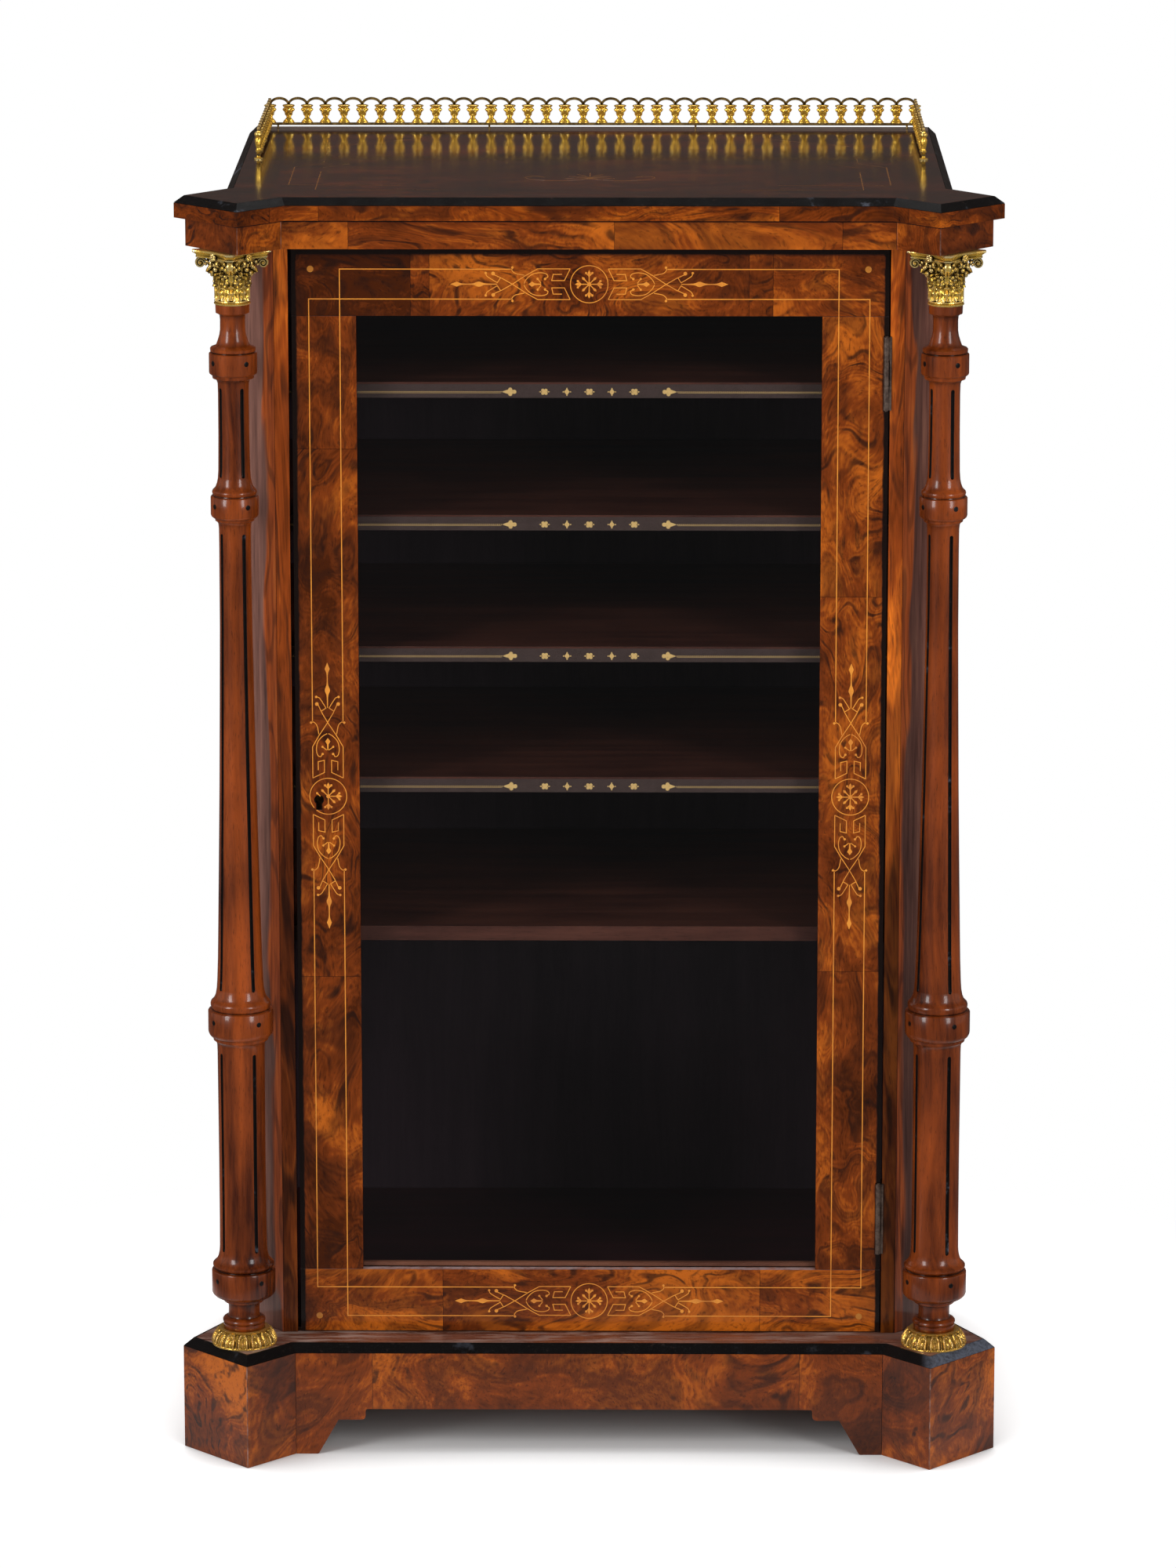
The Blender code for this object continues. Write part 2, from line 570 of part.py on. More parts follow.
def make_columns():
    shaft_top = frieze_bottom - GAP - CAPITAL_HEIGHT - GAP
    height = shaft_top - ledge
    ring_foot = ledge + GAP
    profile = [(0, shaft_top)]
    profile += [(COLUMN_RADIUS * radius, ledge + height * share) for share, radius in SHAFT_SHARES]
    seat = ring_foot + RING_HEIGHT + GAP
    profile += [(profile[-1][0], seat), (SPIGOT_RADIUS, seat), (SPIGOT_RADIUS, ring_foot), (0, ring_foot)]
    bore = SPIGOT_RADIUS + GAP
    ring = [(RING_RADIUS * radius, ring_foot + RING_HEIGHT * share) for share, radius in RING_SHARES]
    ring = [(bore, ring_foot + RING_HEIGHT)] + ring + [(bore, ring_foot), (bore, ring_foot + RING_HEIGHT)]
    for side, word in ((-1, "left"), (1, "right")):
        place = (side * column_x, COLUMN_DEPTH, 0)
        turned("column_shaft_" + word, profile, place, SHAFT_STEPS, COLUMN_WOOD)
        turned("column_foot_ring_" + word, ring, place, SHAFT_STEPS, GILT)
        make_capital(word, place)


def star_outline(centre, tip, waist, count=32):
    """A square with hollow sides, whose four horns point along the axes."""
    points = []
    for i in range(count):
        angle = 2 * math.pi * i / count
        radius = waist + (tip - waist) * abs(math.cos(2 * angle)) ** 2.2
        points.append((centre[0] + radius * math.cos(angle), centre[1] + radius * math.sin(angle)))
    return points


def make_capital(word, place):
    top = frieze_bottom - GAP
    foot = top - CAPITAL_HEIGHT
    abacus_foot = top - CAPITAL_ABACUS_HEIGHT
    bell_height = abacus_foot + CAPITAL_ABACUS_HEIGHT / 2 - foot
    profile = [(CAPITAL_RADIUS * radius, foot + bell_height * share) for share, radius in BELL_SHARES]
    profile = [(0, profile[0][1])] + profile + [(0, foot)]
    bell = turned("column_capital_" + word, profile, place, 16, GILT)
    outline = star_outline(place[:2], CAPITAL_RADIUS, CAPITAL_ABACUS_WAIST)
    combine(bell, plate(f"abacus_{word}_guide", [outline], "Z", abacus_foot, top, GILT, cutter=True),
            "UNION")
    for i in range(4):
        angle = i * math.pi / 2
        centre = (place[0] + CAPITAL_VOLUTE_REACH * math.cos(angle),
                  place[1] + CAPITAL_VOLUTE_REACH * math.sin(angle),
                  abacus_foot - CAPITAL_VOLUTE_RADIUS / 2)
        volute = turned(f"volute_{word}_{i}_guide", cylinder(CAPITAL_VOLUTE_RADIUS, CAPITAL_VOLUTE_WIDTH),
                        centre, 10, GILT, cutter=True)
        volute.rotation_euler = (math.pi / 2, 0, angle)
        combine(bell, volute, "UNION")


def cylinder(radius, length):
    """Profile of a cylinder centred on its origin, for turning."""
    half = length / 2
    return [(0, half), (radius, half), (radius, -half), (0, -half)]


def gallery_loops(bays, pitch, feet):
    """Outline of a run of gallery and the openings of its bays, from 0 along the run."""
    length = bays * pitch
    outline = [(0, GALLERY_FOOT_HEIGHT)]
    for share in feet:
        low, high = share * length - GALLERY_FOOT_HALF, share * length + GALLERY_FOOT_HALF
        outline.append(((outline[-1][0] + low) / 2, GALLERY_FOOT_HEIGHT + GAP / 2))
        outline += [(low, GALLERY_FOOT_HEIGHT), (low, GAP), (high, GAP), (high, GALLERY_FOOT_HEIGHT)]
    outline.append(((high + length) / 2, GALLERY_FOOT_HEIGHT + GAP / 2))
    outline.append((length, GALLERY_FOOT_HEIGHT))
    outline.append((length, BAY_TOP_SHARES[0][1] * GALLERY_HEIGHT))
    for bay in reversed(range(bays)):
        middle = (bay + 0.5) * pitch
        for across, up in reversed(BAY_TOP_SHARES):
            outline.append((middle + across * pitch, up * GALLERY_HEIGHT))
    loops = [outline]
    for bay in range(bays):
        middle = (bay + 0.5) * pitch
        right = [(middle + across * pitch, up * GALLERY_HEIGHT) for across, up in BAY_HOLE_SHARES]
        left = [(middle - across * pitch, up * GALLERY_HEIGHT) for across, up in BAY_HOLE_SHARES[:-1]]
        loops.append(right + list(reversed(left)))
    return loops


def make_gallery():
    half_length = slab_side_x - GALLERY_SIDE_INSET
    back = slab_back - GALLERY_BACK_INSET
    pitch = 2 * half_length / GALLERY_BAYS_BACK
    half = GALLERY_THICKNESS / 2
    loops = [[(x - half_length, cabinet_top + z) for x, z in loop]
             for loop in gallery_loops(GALLERY_BAYS_BACK, pitch, BACK_FOOT_SHARES)]
    plate("gallery_back", loops, "Y", back - half, back + half, GILT)
    side_end = back - half - GAP
    start = back - GALLERY_BAYS_SIDE * pitch
    first = start + POST_RADIUS + GAP
    side_pitch = (side_end - first) / GALLERY_BAYS_SIDE
    loops = [[(first + y, cabinet_top + z) for y, z in loop]
             for loop in gallery_loops(GALLERY_BAYS_SIDE, side_pitch, SIDE_FOOT_SHARES)]
    post = [(POST_RADIUS * radius, GAP + (GALLERY_HEIGHT - GAP) * share) for share, radius in POST_SHARES]
    post = [(0, GALLERY_HEIGHT)] + post + [(0, GAP)]
    for side, word in ((-1, "left"), (1, "right")):
        middle = side * (half_length - half)
        plate("gallery_" + word, loops, "X", middle - half, middle + half, GILT)
        turned("gallery_post_" + word, post, (middle, start, cabinet_top), POST_STEPS, GILT)


def make_door():
    x_left, x_right = -sight_half_width, sight_half_width
    thickness = (STILE_DEPTH, door_back)
    frame = [
        box("door_rail_bottom", (door_left, door_right), thickness, (door_bottom, sight_bottom), BURR, DOOR),
        box("door_rail_top", (door_left, door_right), thickness, (sight_top, door_top), BURR, DOOR),
        box("door_stile_lock", (door_left, x_left), thickness,
            (sight_bottom + GAP, sight_top - GAP), BURR, DOOR),
        box("door_stile_hinge", (x_right, door_right), thickness,
            (sight_bottom + GAP, sight_top - GAP), BURR, DOOR)]
    glass_depth = STILE_DEPTH + REBATE_FACE
    rebate = box("glass_rebate_cutter", (x_left - REBATE_WIDTH, x_right + REBATE_WIDTH),
                 (glass_depth, door_back + OVERRUN), (sight_bottom - REBATE_WIDTH, sight_top + REBATE_WIDTH),
                 parent=DOOR, cutter=True)
    for member in frame:
        combine(member, rebate)
    play = REBATE_WIDTH - GAP
    glass_x = (x_left - play, x_right + play)
    glass_z = (sight_bottom - play, sight_top + play)
    glass_start = glass_depth + GAP
    glass_end = glass_start + GLASS_THICKNESS
    box("door_glass", glass_x, (glass_start, glass_end), glass_z, GLASS, DOOR)
    outer = [(glass_x[0], glass_z[0]), (glass_x[1], glass_z[0]), (glass_x[1], glass_z[1]),
             (glass_x[0], glass_z[1])]
    inner = inset(outer, [BEAD_WIDTH] * 4)
    plate("glazing_bead", [outer, inner], "Y", glass_end + GAP, glass_end + GAP + BEAD_THICKNESS,
          WALNUT, DOOR)
    return frame[2], frame[3]


def hinge_rings(name, spans, parent):
    """Hollow knuckles on the hinge's axis, one for each span of height."""
    rings = []
    for i, (low, high) in enumerate(spans):
        profile = [(KNUCKLE_BORE, high), (KNUCKLE_RADIUS, high), (KNUCKLE_RADIUS, low),
                   (KNUCKLE_BORE, low), (KNUCKLE_BORE, high)]
        rings.append(turned(f"{name}_knuckle_{i}_guide", profile, (hinge_x, hinge_depth, 0), 14,
                            AGED_METAL, parent, cutter=True))
    return rings


def make_hinge(word, low, door_stile, carcass_stile):
    high = low + HINGE_LENGTH
    third = HINGE_LENGTH / 3
    outer_spans = ((low, low + third - GAP), (high - third + GAP, high))
    inner_span = (low + third, high - third)
    leaf_end = STILE_DEPTH + LEAF_DEPTH
    # Carcass leaf: let into the stile, with its lugs passing in front of the door's edge
    face = OPENING_HALF_WIDTH - LEAF_PROUD
    leaf_x = (face, face + LEAF_THICKNESS)
    leaf = box("hinge_leaf_carcass_" + word, leaf_x, (hinge_depth - LUG_FRONT, leaf_end), (low, high),
               AGED_METAL)
    for i, (start, end) in enumerate(outer_spans):
        lug = box(f"carcass_lug_{word}_{i}_guide", (hinge_x + LUG_INNER, face + LEAF_THICKNESS / 2),
                  (hinge_depth - LUG_FRONT + GAP / 2, hinge_depth + LUG_BACK),
                  (start + GAP, end - GAP), AGED_METAL, cutter=True)
        combine(leaf, lug, "UNION")
    for ring in hinge_rings("carcass_" + word, outer_spans, CABINET):
        combine(leaf, ring, "UNION")
    recess = box(f"stile_recess_{word}_cutter", (face - OVERRUN, face + LEAF_THICKNESS + GAP),
                 (STILE_DEPTH - OVERRUN, leaf_end + GAP), (low - GAP, high + GAP), cutter=True)
    combine(carcass_stile, recess)
    # Door leaf: let into the door's edge, clear of the carcass leaf's knuckles
    face = door_right + LEAF_PROUD
    leaf_x = (face - LEAF_THICKNESS, face)
    leaf_start = STILE_DEPTH + LEAF_START
    leaf = box("hinge_leaf_door_" + word, leaf_x, (leaf_start, leaf_end), (low, high), AGED_METAL, DOOR)
    lug = box(f"door_lug_{word}_guide", (leaf_x[0] + GAP / 2, leaf_x[1] - GAP / 2),
              (hinge_depth + DOOR_LUG_INNER, leaf_start + LEAF_THICKNESS),
              (inner_span[0] + GAP, inner_span[1] - GAP), AGED_METAL, DOOR, cutter=True)
    combine(leaf, lug, "UNION")
    for ring in hinge_rings("door_" + word, (inner_span,), DOOR):
        combine(leaf, ring, "UNION")
    recess = box(f"door_recess_{word}_cutter", (face - LEAF_THICKNESS - GAP, face + OVERRUN),
                 (STILE_DEPTH - OVERRUN, leaf_end + GAP), (low - GAP, high + GAP), parent=DOOR, cutter=True)
    combine(door_stile, recess)
    room = KNUCKLE_RADIUS + NOTCH_CLEARANCE
    notch = box(f"knuckle_notch_{word}_cutter", (hinge_x - room, face + OVERRUN),
                (STILE_DEPTH - OVERRUN, hinge_depth + room), (low - PIN_PROUD - GAP, high + PIN_PROUD + GAP),
                parent=DOOR, cutter=True)
    combine(door_stile, notch)
    middle = (low + high) / 2
    turned("hinge_pin_" + word, cylinder(PIN_RADIUS, HINGE_LENGTH + 2 * PIN_PROUD),
           (hinge_x, hinge_depth, middle), 14, AGED_METAL)


def keyhole_outline(centre_x, centre_z, grow):
    """A round eye over a straight slot, grown outwards all round."""
    radius = KEYHOLE_EYE_RADIUS + grow
    half = KEYHOLE_SLOT_HALF + grow
    start = math.asin(half / radius)
    points = []
    for i in range(15):
        angle = -math.pi / 2 + start + i * (2 * math.pi - 2 * start) / 14
        points.append((centre_x + radius * math.cos(angle), centre_z + radius * math.sin(angle)))
    foot = centre_z - KEYHOLE_DROP - grow
    return points + [(centre_x - half, foot), (centre_x + half, foot)]


def make_lock(door_stile, carcass_stile):
    low, high = lock_height - LOCK_HEIGHT / 2, lock_height + LOCK_HEIGHT / 2
    case_front = door_back - LOCK_THICKNESS
    case_x = (door_left, door_left + LOCK_WIDTH)
    case = box("lock_case", case_x, (case_front, door_back), (low, high), LOCK_BRASS, DOOR)
    combine(door_stile, box("lock_mortise_cutter", (door_left - OVERRUN, case_x[1] + GAP),
                            (case_front - GAP, door_back + OVERRUN), (low - GAP, high + GAP),
                            parent=DOOR, cutter=True))
    bolt_depth = (case_front + LOCK_WALL + GAP, door_back - LOCK_WALL - GAP)
    bolt_z = (lock_height - BOLT_HEIGHT / 2, lock_height + BOLT_HEIGHT / 2)
    bolt_x = (door_left + GAP, door_left + GAP + BOLT_LENGTH)
    box("lock_bolt", bolt_x, bolt_depth, bolt_z, LOCK_BRASS, DOOR)
    combine(case, box("bolt_channel_cutter", (door_left - OVERRUN, bolt_x[1] + BOLT_BACK_ROOM),
                      (bolt_depth[0] - GAP, bolt_depth[1] + GAP), (bolt_z[0] - GAP, bolt_z[1] + GAP),
                      parent=DOOR, cutter=True))
    # Keyhole, lined with metal, through the stile to the lock's case
    eye_x = door_left + KEYHOLE_FROM_EDGE
    lining = [keyhole_outline(eye_x, lock_height, LINING_WALL), keyhole_outline(eye_x, lock_height, 0)]
    plate("keyhole_escutcheon", lining, "Y", STILE_DEPTH, STILE_DEPTH + LINING_LENGTH, LOCK_BRASS, DOOR)
    hole = plate("keyhole_cutter", [keyhole_outline(eye_x, lock_height, LINING_WALL + GAP)], "Y",
                 STILE_DEPTH - OVERRUN, case_front + GAP, parent=DOOR, cutter=True)
    combine(door_stile, hole)
    # Strike plate let into the carcass stile, over the pocket that takes the bolt
    margin = STRIKE_MARGIN
    hole_depth = (bolt_depth[0] - margin, bolt_depth[1] + margin)
    hole_z = (bolt_z[0] - margin, bolt_z[1] + margin)
    middle = (hole_depth[0] + hole_depth[1]) / 2
    plate_depth = (middle - STRIKE_WIDTH / 2, min(middle + STRIKE_WIDTH / 2,
                                                  STILE_DEPTH + STILE_THICKNESS - GAP))
    plate_z = (lock_height - STRIKE_HEIGHT / 2, lock_height + STRIKE_HEIGHT / 2)
    loops = [rectangle(plate_depth, plate_z), rectangle(hole_depth, hole_z)]
    face = -OPENING_HALF_WIDTH
    plate("lock_strike_plate", loops, "X", face - STRIKE_THICKNESS, face, LOCK_BRASS)
    combine(carcass_stile, box("strike_recess_cutter", (face - STRIKE_THICKNESS - GAP, face + OVERRUN),
                               (plate_depth[0] - GAP, plate_depth[1] + GAP + OVERRUN),
                               (plate_z[0] - GAP, plate_z[1] + GAP), cutter=True))
    combine(carcass_stile, box("bolt_pocket_cutter", (face - POCKET_DEPTH, face + OVERRUN),
                               hole_depth, hole_z, cutter=True))


def rectangle(x, y):
    return [(x[0], y[0]), (x[1], y[0]), (x[1], y[1]), (x[0], y[1])]


def make_cabinet():
    make_plinth()
    make_frieze_and_top()
    make_carcass()
    make_shelves()
    make_columns()
    make_gallery()
    lock_stile, hinge_stile = make_door()
    carcass_stiles = {word: PARTS.objects["front_stile_" + word] for word in ("left", "right")}
    make_hinge("lower", door_bottom + HINGE_BOTTOM_INSET, hinge_stile, carcass_stiles["right"])
    make_hinge("upper", door_top - HINGE_TOP_INSET - HINGE_LENGTH, hinge_stile, carcass_stiles["right"])
    make_lock(lock_stile, carcass_stiles["left"])


make_cabinet()
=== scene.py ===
"""Finishes, turned and cast pieces, inlay and light for the sheet music cabinet."""
import math

import bpy
from mathutils import Matrix, Vector


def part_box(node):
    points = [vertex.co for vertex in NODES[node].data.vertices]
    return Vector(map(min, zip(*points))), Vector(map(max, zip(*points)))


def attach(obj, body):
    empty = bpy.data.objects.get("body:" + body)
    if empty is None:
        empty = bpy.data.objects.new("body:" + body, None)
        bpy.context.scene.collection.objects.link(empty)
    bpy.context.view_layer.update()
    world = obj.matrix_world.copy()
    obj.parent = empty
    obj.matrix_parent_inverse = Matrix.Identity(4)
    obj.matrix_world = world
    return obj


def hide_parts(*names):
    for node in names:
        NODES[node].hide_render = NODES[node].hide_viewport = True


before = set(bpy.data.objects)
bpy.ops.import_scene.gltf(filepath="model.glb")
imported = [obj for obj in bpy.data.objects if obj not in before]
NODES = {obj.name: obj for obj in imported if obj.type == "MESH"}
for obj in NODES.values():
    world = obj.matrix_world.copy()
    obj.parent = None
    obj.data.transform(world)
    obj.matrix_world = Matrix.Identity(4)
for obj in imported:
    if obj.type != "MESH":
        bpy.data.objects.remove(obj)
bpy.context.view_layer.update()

bl_info = {
    "name": "Sheet Music Cabinet",
    "version": (1, 0, 0),
    "blender": (4, 5, 0),
    "location": "View3D > Sidebar > Cabinet",
    "description": "Dresses the burr walnut music cabinet with its finishes, columns, inlay and gallery",
    "category": "Object",
}

MM = 0.001
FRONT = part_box("plinth_front")[0].y        # plane of the plinth's front board
DOOR_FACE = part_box("door_rail_top")[0].y
SLAB_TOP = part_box("top_board")[1].z
SIDES = {"left": -1, "right": 1}
SHELVES = ("first", "second", "third", "fourth", "fifth")


def srgb(red, green, blue):
    """A colour given as 0 to 255 on screen, as the linear values that Blender works in."""
    values = []
    for value in (red, green, blue):
        value /= 255
        values.append(value / 12.92 if value <= 0.04045 else ((value + 0.055) / 1.055) ** 2.4)
    return tuple(values)


def dimmed(colour, share):
    return [share * value for value in colour]


def colour_property(name, description, colour):
    return bpy.props.FloatVectorProperty(
        name=name, description=description, subtype="COLOR", size=3, min=0, max=1, default=srgb(*colour))


def length_property(name, description, millimetres):
    return bpy.props.FloatProperty(
        name=name, description=description, default=millimetres * MM, min=0, unit="LENGTH", precision=4)


class CabinetColours(bpy.types.PropertyGroup):
    """Colours of the cabinet's woods, metals and leather."""
    burr_light: colour_property("Burr light", "Palest figure of the burr walnut", (188, 96, 20))
    burr_middle: colour_property("Burr middle", "Middle tone of the burr walnut", (124, 54, 11))
    burr_dark: colour_property("Burr dark", "Dark figure of the burr walnut", (38, 18, 10))
    walnut_light: colour_property("Walnut light", "Palest streaks of the plain walnut", (140, 74, 32))
    walnut_dark: colour_property("Walnut dark", "Dark streaks of the plain walnut", (58, 27, 18))
    column_light: colour_property("Column light", "Palest grain of the turned columns", (160, 72, 20))
    column_dark: colour_property("Column dark", "Dark grain of the turned columns", (52, 17, 6))
    # The inside colour is dark stain with painted shade of the closed case
    inside: colour_property("Inside", "Stained wood inside the case", (72, 34, 37))
    ebony: colour_property("Ebony", "Black stain of mouldings and flutes", (14, 12, 12))
    boxwood: colour_property("Boxwood", "Inlaid lines and ornament", (238, 152, 50))
    gilt: colour_property("Gilt", "Gilt brass where it is bright", (254, 206, 86))
    # The recess colour stands for grime together with painted shade
    gilt_recess: colour_property("Gilt recess", "Gilt brass down in its recesses", (62, 42, 12))
    leather: colour_property("Leather", "Leather strips on the shelves", (86, 66, 60))
    hinge: colour_property("Hinge", "Aged metal of the hinges", (112, 94, 82))


class CabinetSizes(bpy.types.PropertyGroup):
    """Sizes of the fine work that the solids leave plain."""
    flute_width: length_property("Flute width", "Width of the columns' black flutes", 3.3)
    flute_depth: length_property("Flute depth", "Depth of the columns' black flutes", 1.7)
    pin_diameter: length_property("Pin diameter", "Black pins on the columns' bands", 4.2)
    line_width: length_property("Inlay line", "Width of the inlaid lines on the door", 0.78)
    inlay_proud: length_property("Inlay stands proud", "How far inlay stands out of the veneer", 0.08)
    arch_thickness: length_property("Arch thickness", "Thickness of the gallery's arches", 2.0)
    dot_diameter: length_property("Corner dot", "Inlaid dots in the door's corners", 5.2)


class Wire:
    """A socket in a finish, which takes part in sums as a number would."""

    def __init__(self, finish, socket):
        self.finish = finish
        self.socket = socket

    def sum(self, operation, first, second):
        return self.finish.node("ShaderNodeMath", {"operation": operation}, {0: first, 1: second})

    def __add__(self, other):
        return self.sum("ADD", self, other)

    def __radd__(self, other):
        return self.sum("ADD", other, self)

    def __sub__(self, other):
        return self.sum("SUBTRACT", self, other)

    def __rsub__(self, other):
        return self.sum("SUBTRACT", other, self)

    def __mul__(self, other):
        return self.sum("MULTIPLY", self, other)

    def __rmul__(self, other):
        return self.sum("MULTIPLY", other, self)

    def __truediv__(self, other):
        return self.sum("DIVIDE", self, other)

    def __pow__(self, other):
        return self.sum("POWER", self, other)

    def __gt__(self, other):
        return self.sum("GREATER_THAN", self, other)

    def __lt__(self, other):
        return self.sum("LESS_THAN", self, other)

    def larger(self, other):
        return self.sum("MAXIMUM", self, other)

    def wave(self):
        """Sine, brought from 0 to 1."""
        return self.sum("SINE", self, 0) * 0.5 + 0.5

    def between(self, low, high):
        """0 at low and 1 at high, with soft ends."""
        return self.finish.node("ShaderNodeMapRange", {"interpolation_type": "SMOOTHSTEP"},
                                {0: self, 1: low, 2: high})


class Finish:
    """A material, built from its output back."""

    def __init__(self, name, tree=None, output="ShaderNodeOutputMaterial"):
        if tree is None:
            self.material = bpy.data.materials.new(name)
            self.material.use_nodes = True
            tree = self.material.node_tree
        else:
            self.material = None
        self.tree = tree
        self.tree.nodes.clear()
        self.output = self.tree.nodes.new(output)

    def set_socket(self, socket, value):
        if isinstance(value, Wire):
            self.tree.links.new(value.socket, socket)
        elif hasattr(value, "__len__") and socket.type == "RGBA":
            socket.default_value = (*value[:3], 1)
        else:
            socket.default_value = value

    def node(self, kind, settings=None, sockets=None, output=0):
        """Any node: its settings first, then its sockets' values or links."""
        node = self.tree.nodes.new(kind)
        for key, value in (settings or {}).items():
            if key == "stops":
                self.set_stops(node.color_ramp, value)
            else:
                setattr(node, key, value)
        for key, value in (sockets or {}).items():
            self.set_socket(node.inputs[key], value)
        return Wire(self, node.outputs[output])

    @staticmethod
    def set_stops(ramp, stops):
        while len(ramp.elements) < len(stops):
            ramp.elements.new(0.5)
        for element, (position, colour) in zip(ramp.elements, stops):
            element.position = position
            element.color = (*colour, 1)

    def place(self):
        return self.node("ShaderNodeTexCoord", output="Object")

    def facing(self, axis):
        """How far a surface faces along an axis of its own piece, whatever the pose: -1 to 1."""
        return self.parts(self.node("ShaderNodeTexCoord", output="Normal"))["XYZ".index(axis)]

    def vector(self, operation, first, second):
        return self.node("ShaderNodeVectorMath", {"operation": operation}, {0: first, 1: second})

    def stretched(self, vector, factors):
        return self.vector("MULTIPLY", vector, factors)

    def parts(self, vector):
        node = self.tree.nodes.new("ShaderNodeSeparateXYZ")
        self.set_socket(node.inputs[0], vector)
        return [Wire(self, output) for output in node.outputs]

    def noise(self, vector, scale, detail=3, roughness=0.5, distortion=0, output="Fac"):
        return self.node("ShaderNodeTexNoise", {"noise_dimensions": "3D"},
                         {"Vector": vector, "Scale": scale, "Detail": detail, "Roughness": roughness,
                          "Distortion": distortion}, output)

    def cells(self, vector, scale, feature):
        return self.node("ShaderNodeTexVoronoi", {"feature": feature}, {"Vector": vector, "Scale": scale},
                         "Distance")

    def mix(self, factor, first, second, blend="MIX"):
        return self.node("ShaderNodeMix", {"data_type": "RGBA", "blend_type": blend},
                         {0: factor, 6: first, 7: second}, 2)

    def tinted(self, colour, tint):
        """A colour multiplied by a number, by another colour or by a wire."""
        if tint == 1.0:
            return colour
        if isinstance(tint, float):
            tint = (tint, tint, tint)
        return self.mix(1.0, colour, tint, "MULTIPLY")

    def ramp(self, factor, stops):
        return self.node("ShaderNodeValToRGB", {"stops": stops}, {0: factor})

    def bump(self, height, distance, strength=1.0):
        return self.node("ShaderNodeBump", None, {"Height": height, "Distance": distance,
                                                  "Strength": strength})

    def surface(self, **sockets):
        """The main shader; a name's underscores stand for spaces."""
        named = {key.replace("_", " "): value for key, value in sockets.items()}
        return self.show(self.node("ShaderNodeBsdfPrincipled", None, named))

    def show(self, shader):
        self.tree.links.new(shader.socket, self.output.inputs["Surface"])
        return self.material

    def emission(self, colour, strength=1.0):
        return self.node("ShaderNodeEmission", None, {"Color": colour, "Strength": strength})

    def shader_mix(self, factor, first, second):
        return self.node("ShaderNodeMixShader", None, {0: factor, 1: first, 2: second})

    def rays(self):
        """Whether a ray comes straight from the camera or through glass, and whether it was mirrored."""
        straight, through, mirrored = [
            self.node("ShaderNodeLightPath", output=name)
            for name in ("Is Camera Ray", "Is Transmission Ray", "Is Glossy Ray")]
        return straight.larger(through), mirrored


def warped(finish, place, scale, reach):
    """Places pushed about by slow noise, so that what is drawn on them swirls."""
    push = finish.noise(place, scale, 2, 0.5, output="Color")
    centred = finish.vector("SUBTRACT", push, (0.5, 0.5, 0.5))
    return finish.vector("ADD", place, finish.stretched(centred, (reach, reach, reach)))


def combined(finish, x, y, z):
    return finish.node("ShaderNodeCombineXYZ", None, {0: x, 1: y, 2: z})


def leaf_of(finish, place, cuts):
    """Which leaf of veneer a place is on, how pale that leaf is, and the way along the cuts."""
    axis, values, tones = cuts
    along = finish.parts(place)["XYZ".index(axis)]
    leaf, tone = 0, tones[0]
    for value, before, after in zip(values, tones, tones[1:]):
        past = along > value
        leaf = past + leaf
        tone = past * (after - before) + tone
    return leaf, tone, along


JOINT_HALF = 0.00025           # half the width of the dark joint between two leaves of veneer
LEAF_SHIFT = (0.31, 0.17, 0.23)  # how far the figure jumps from one leaf of veneer to the next


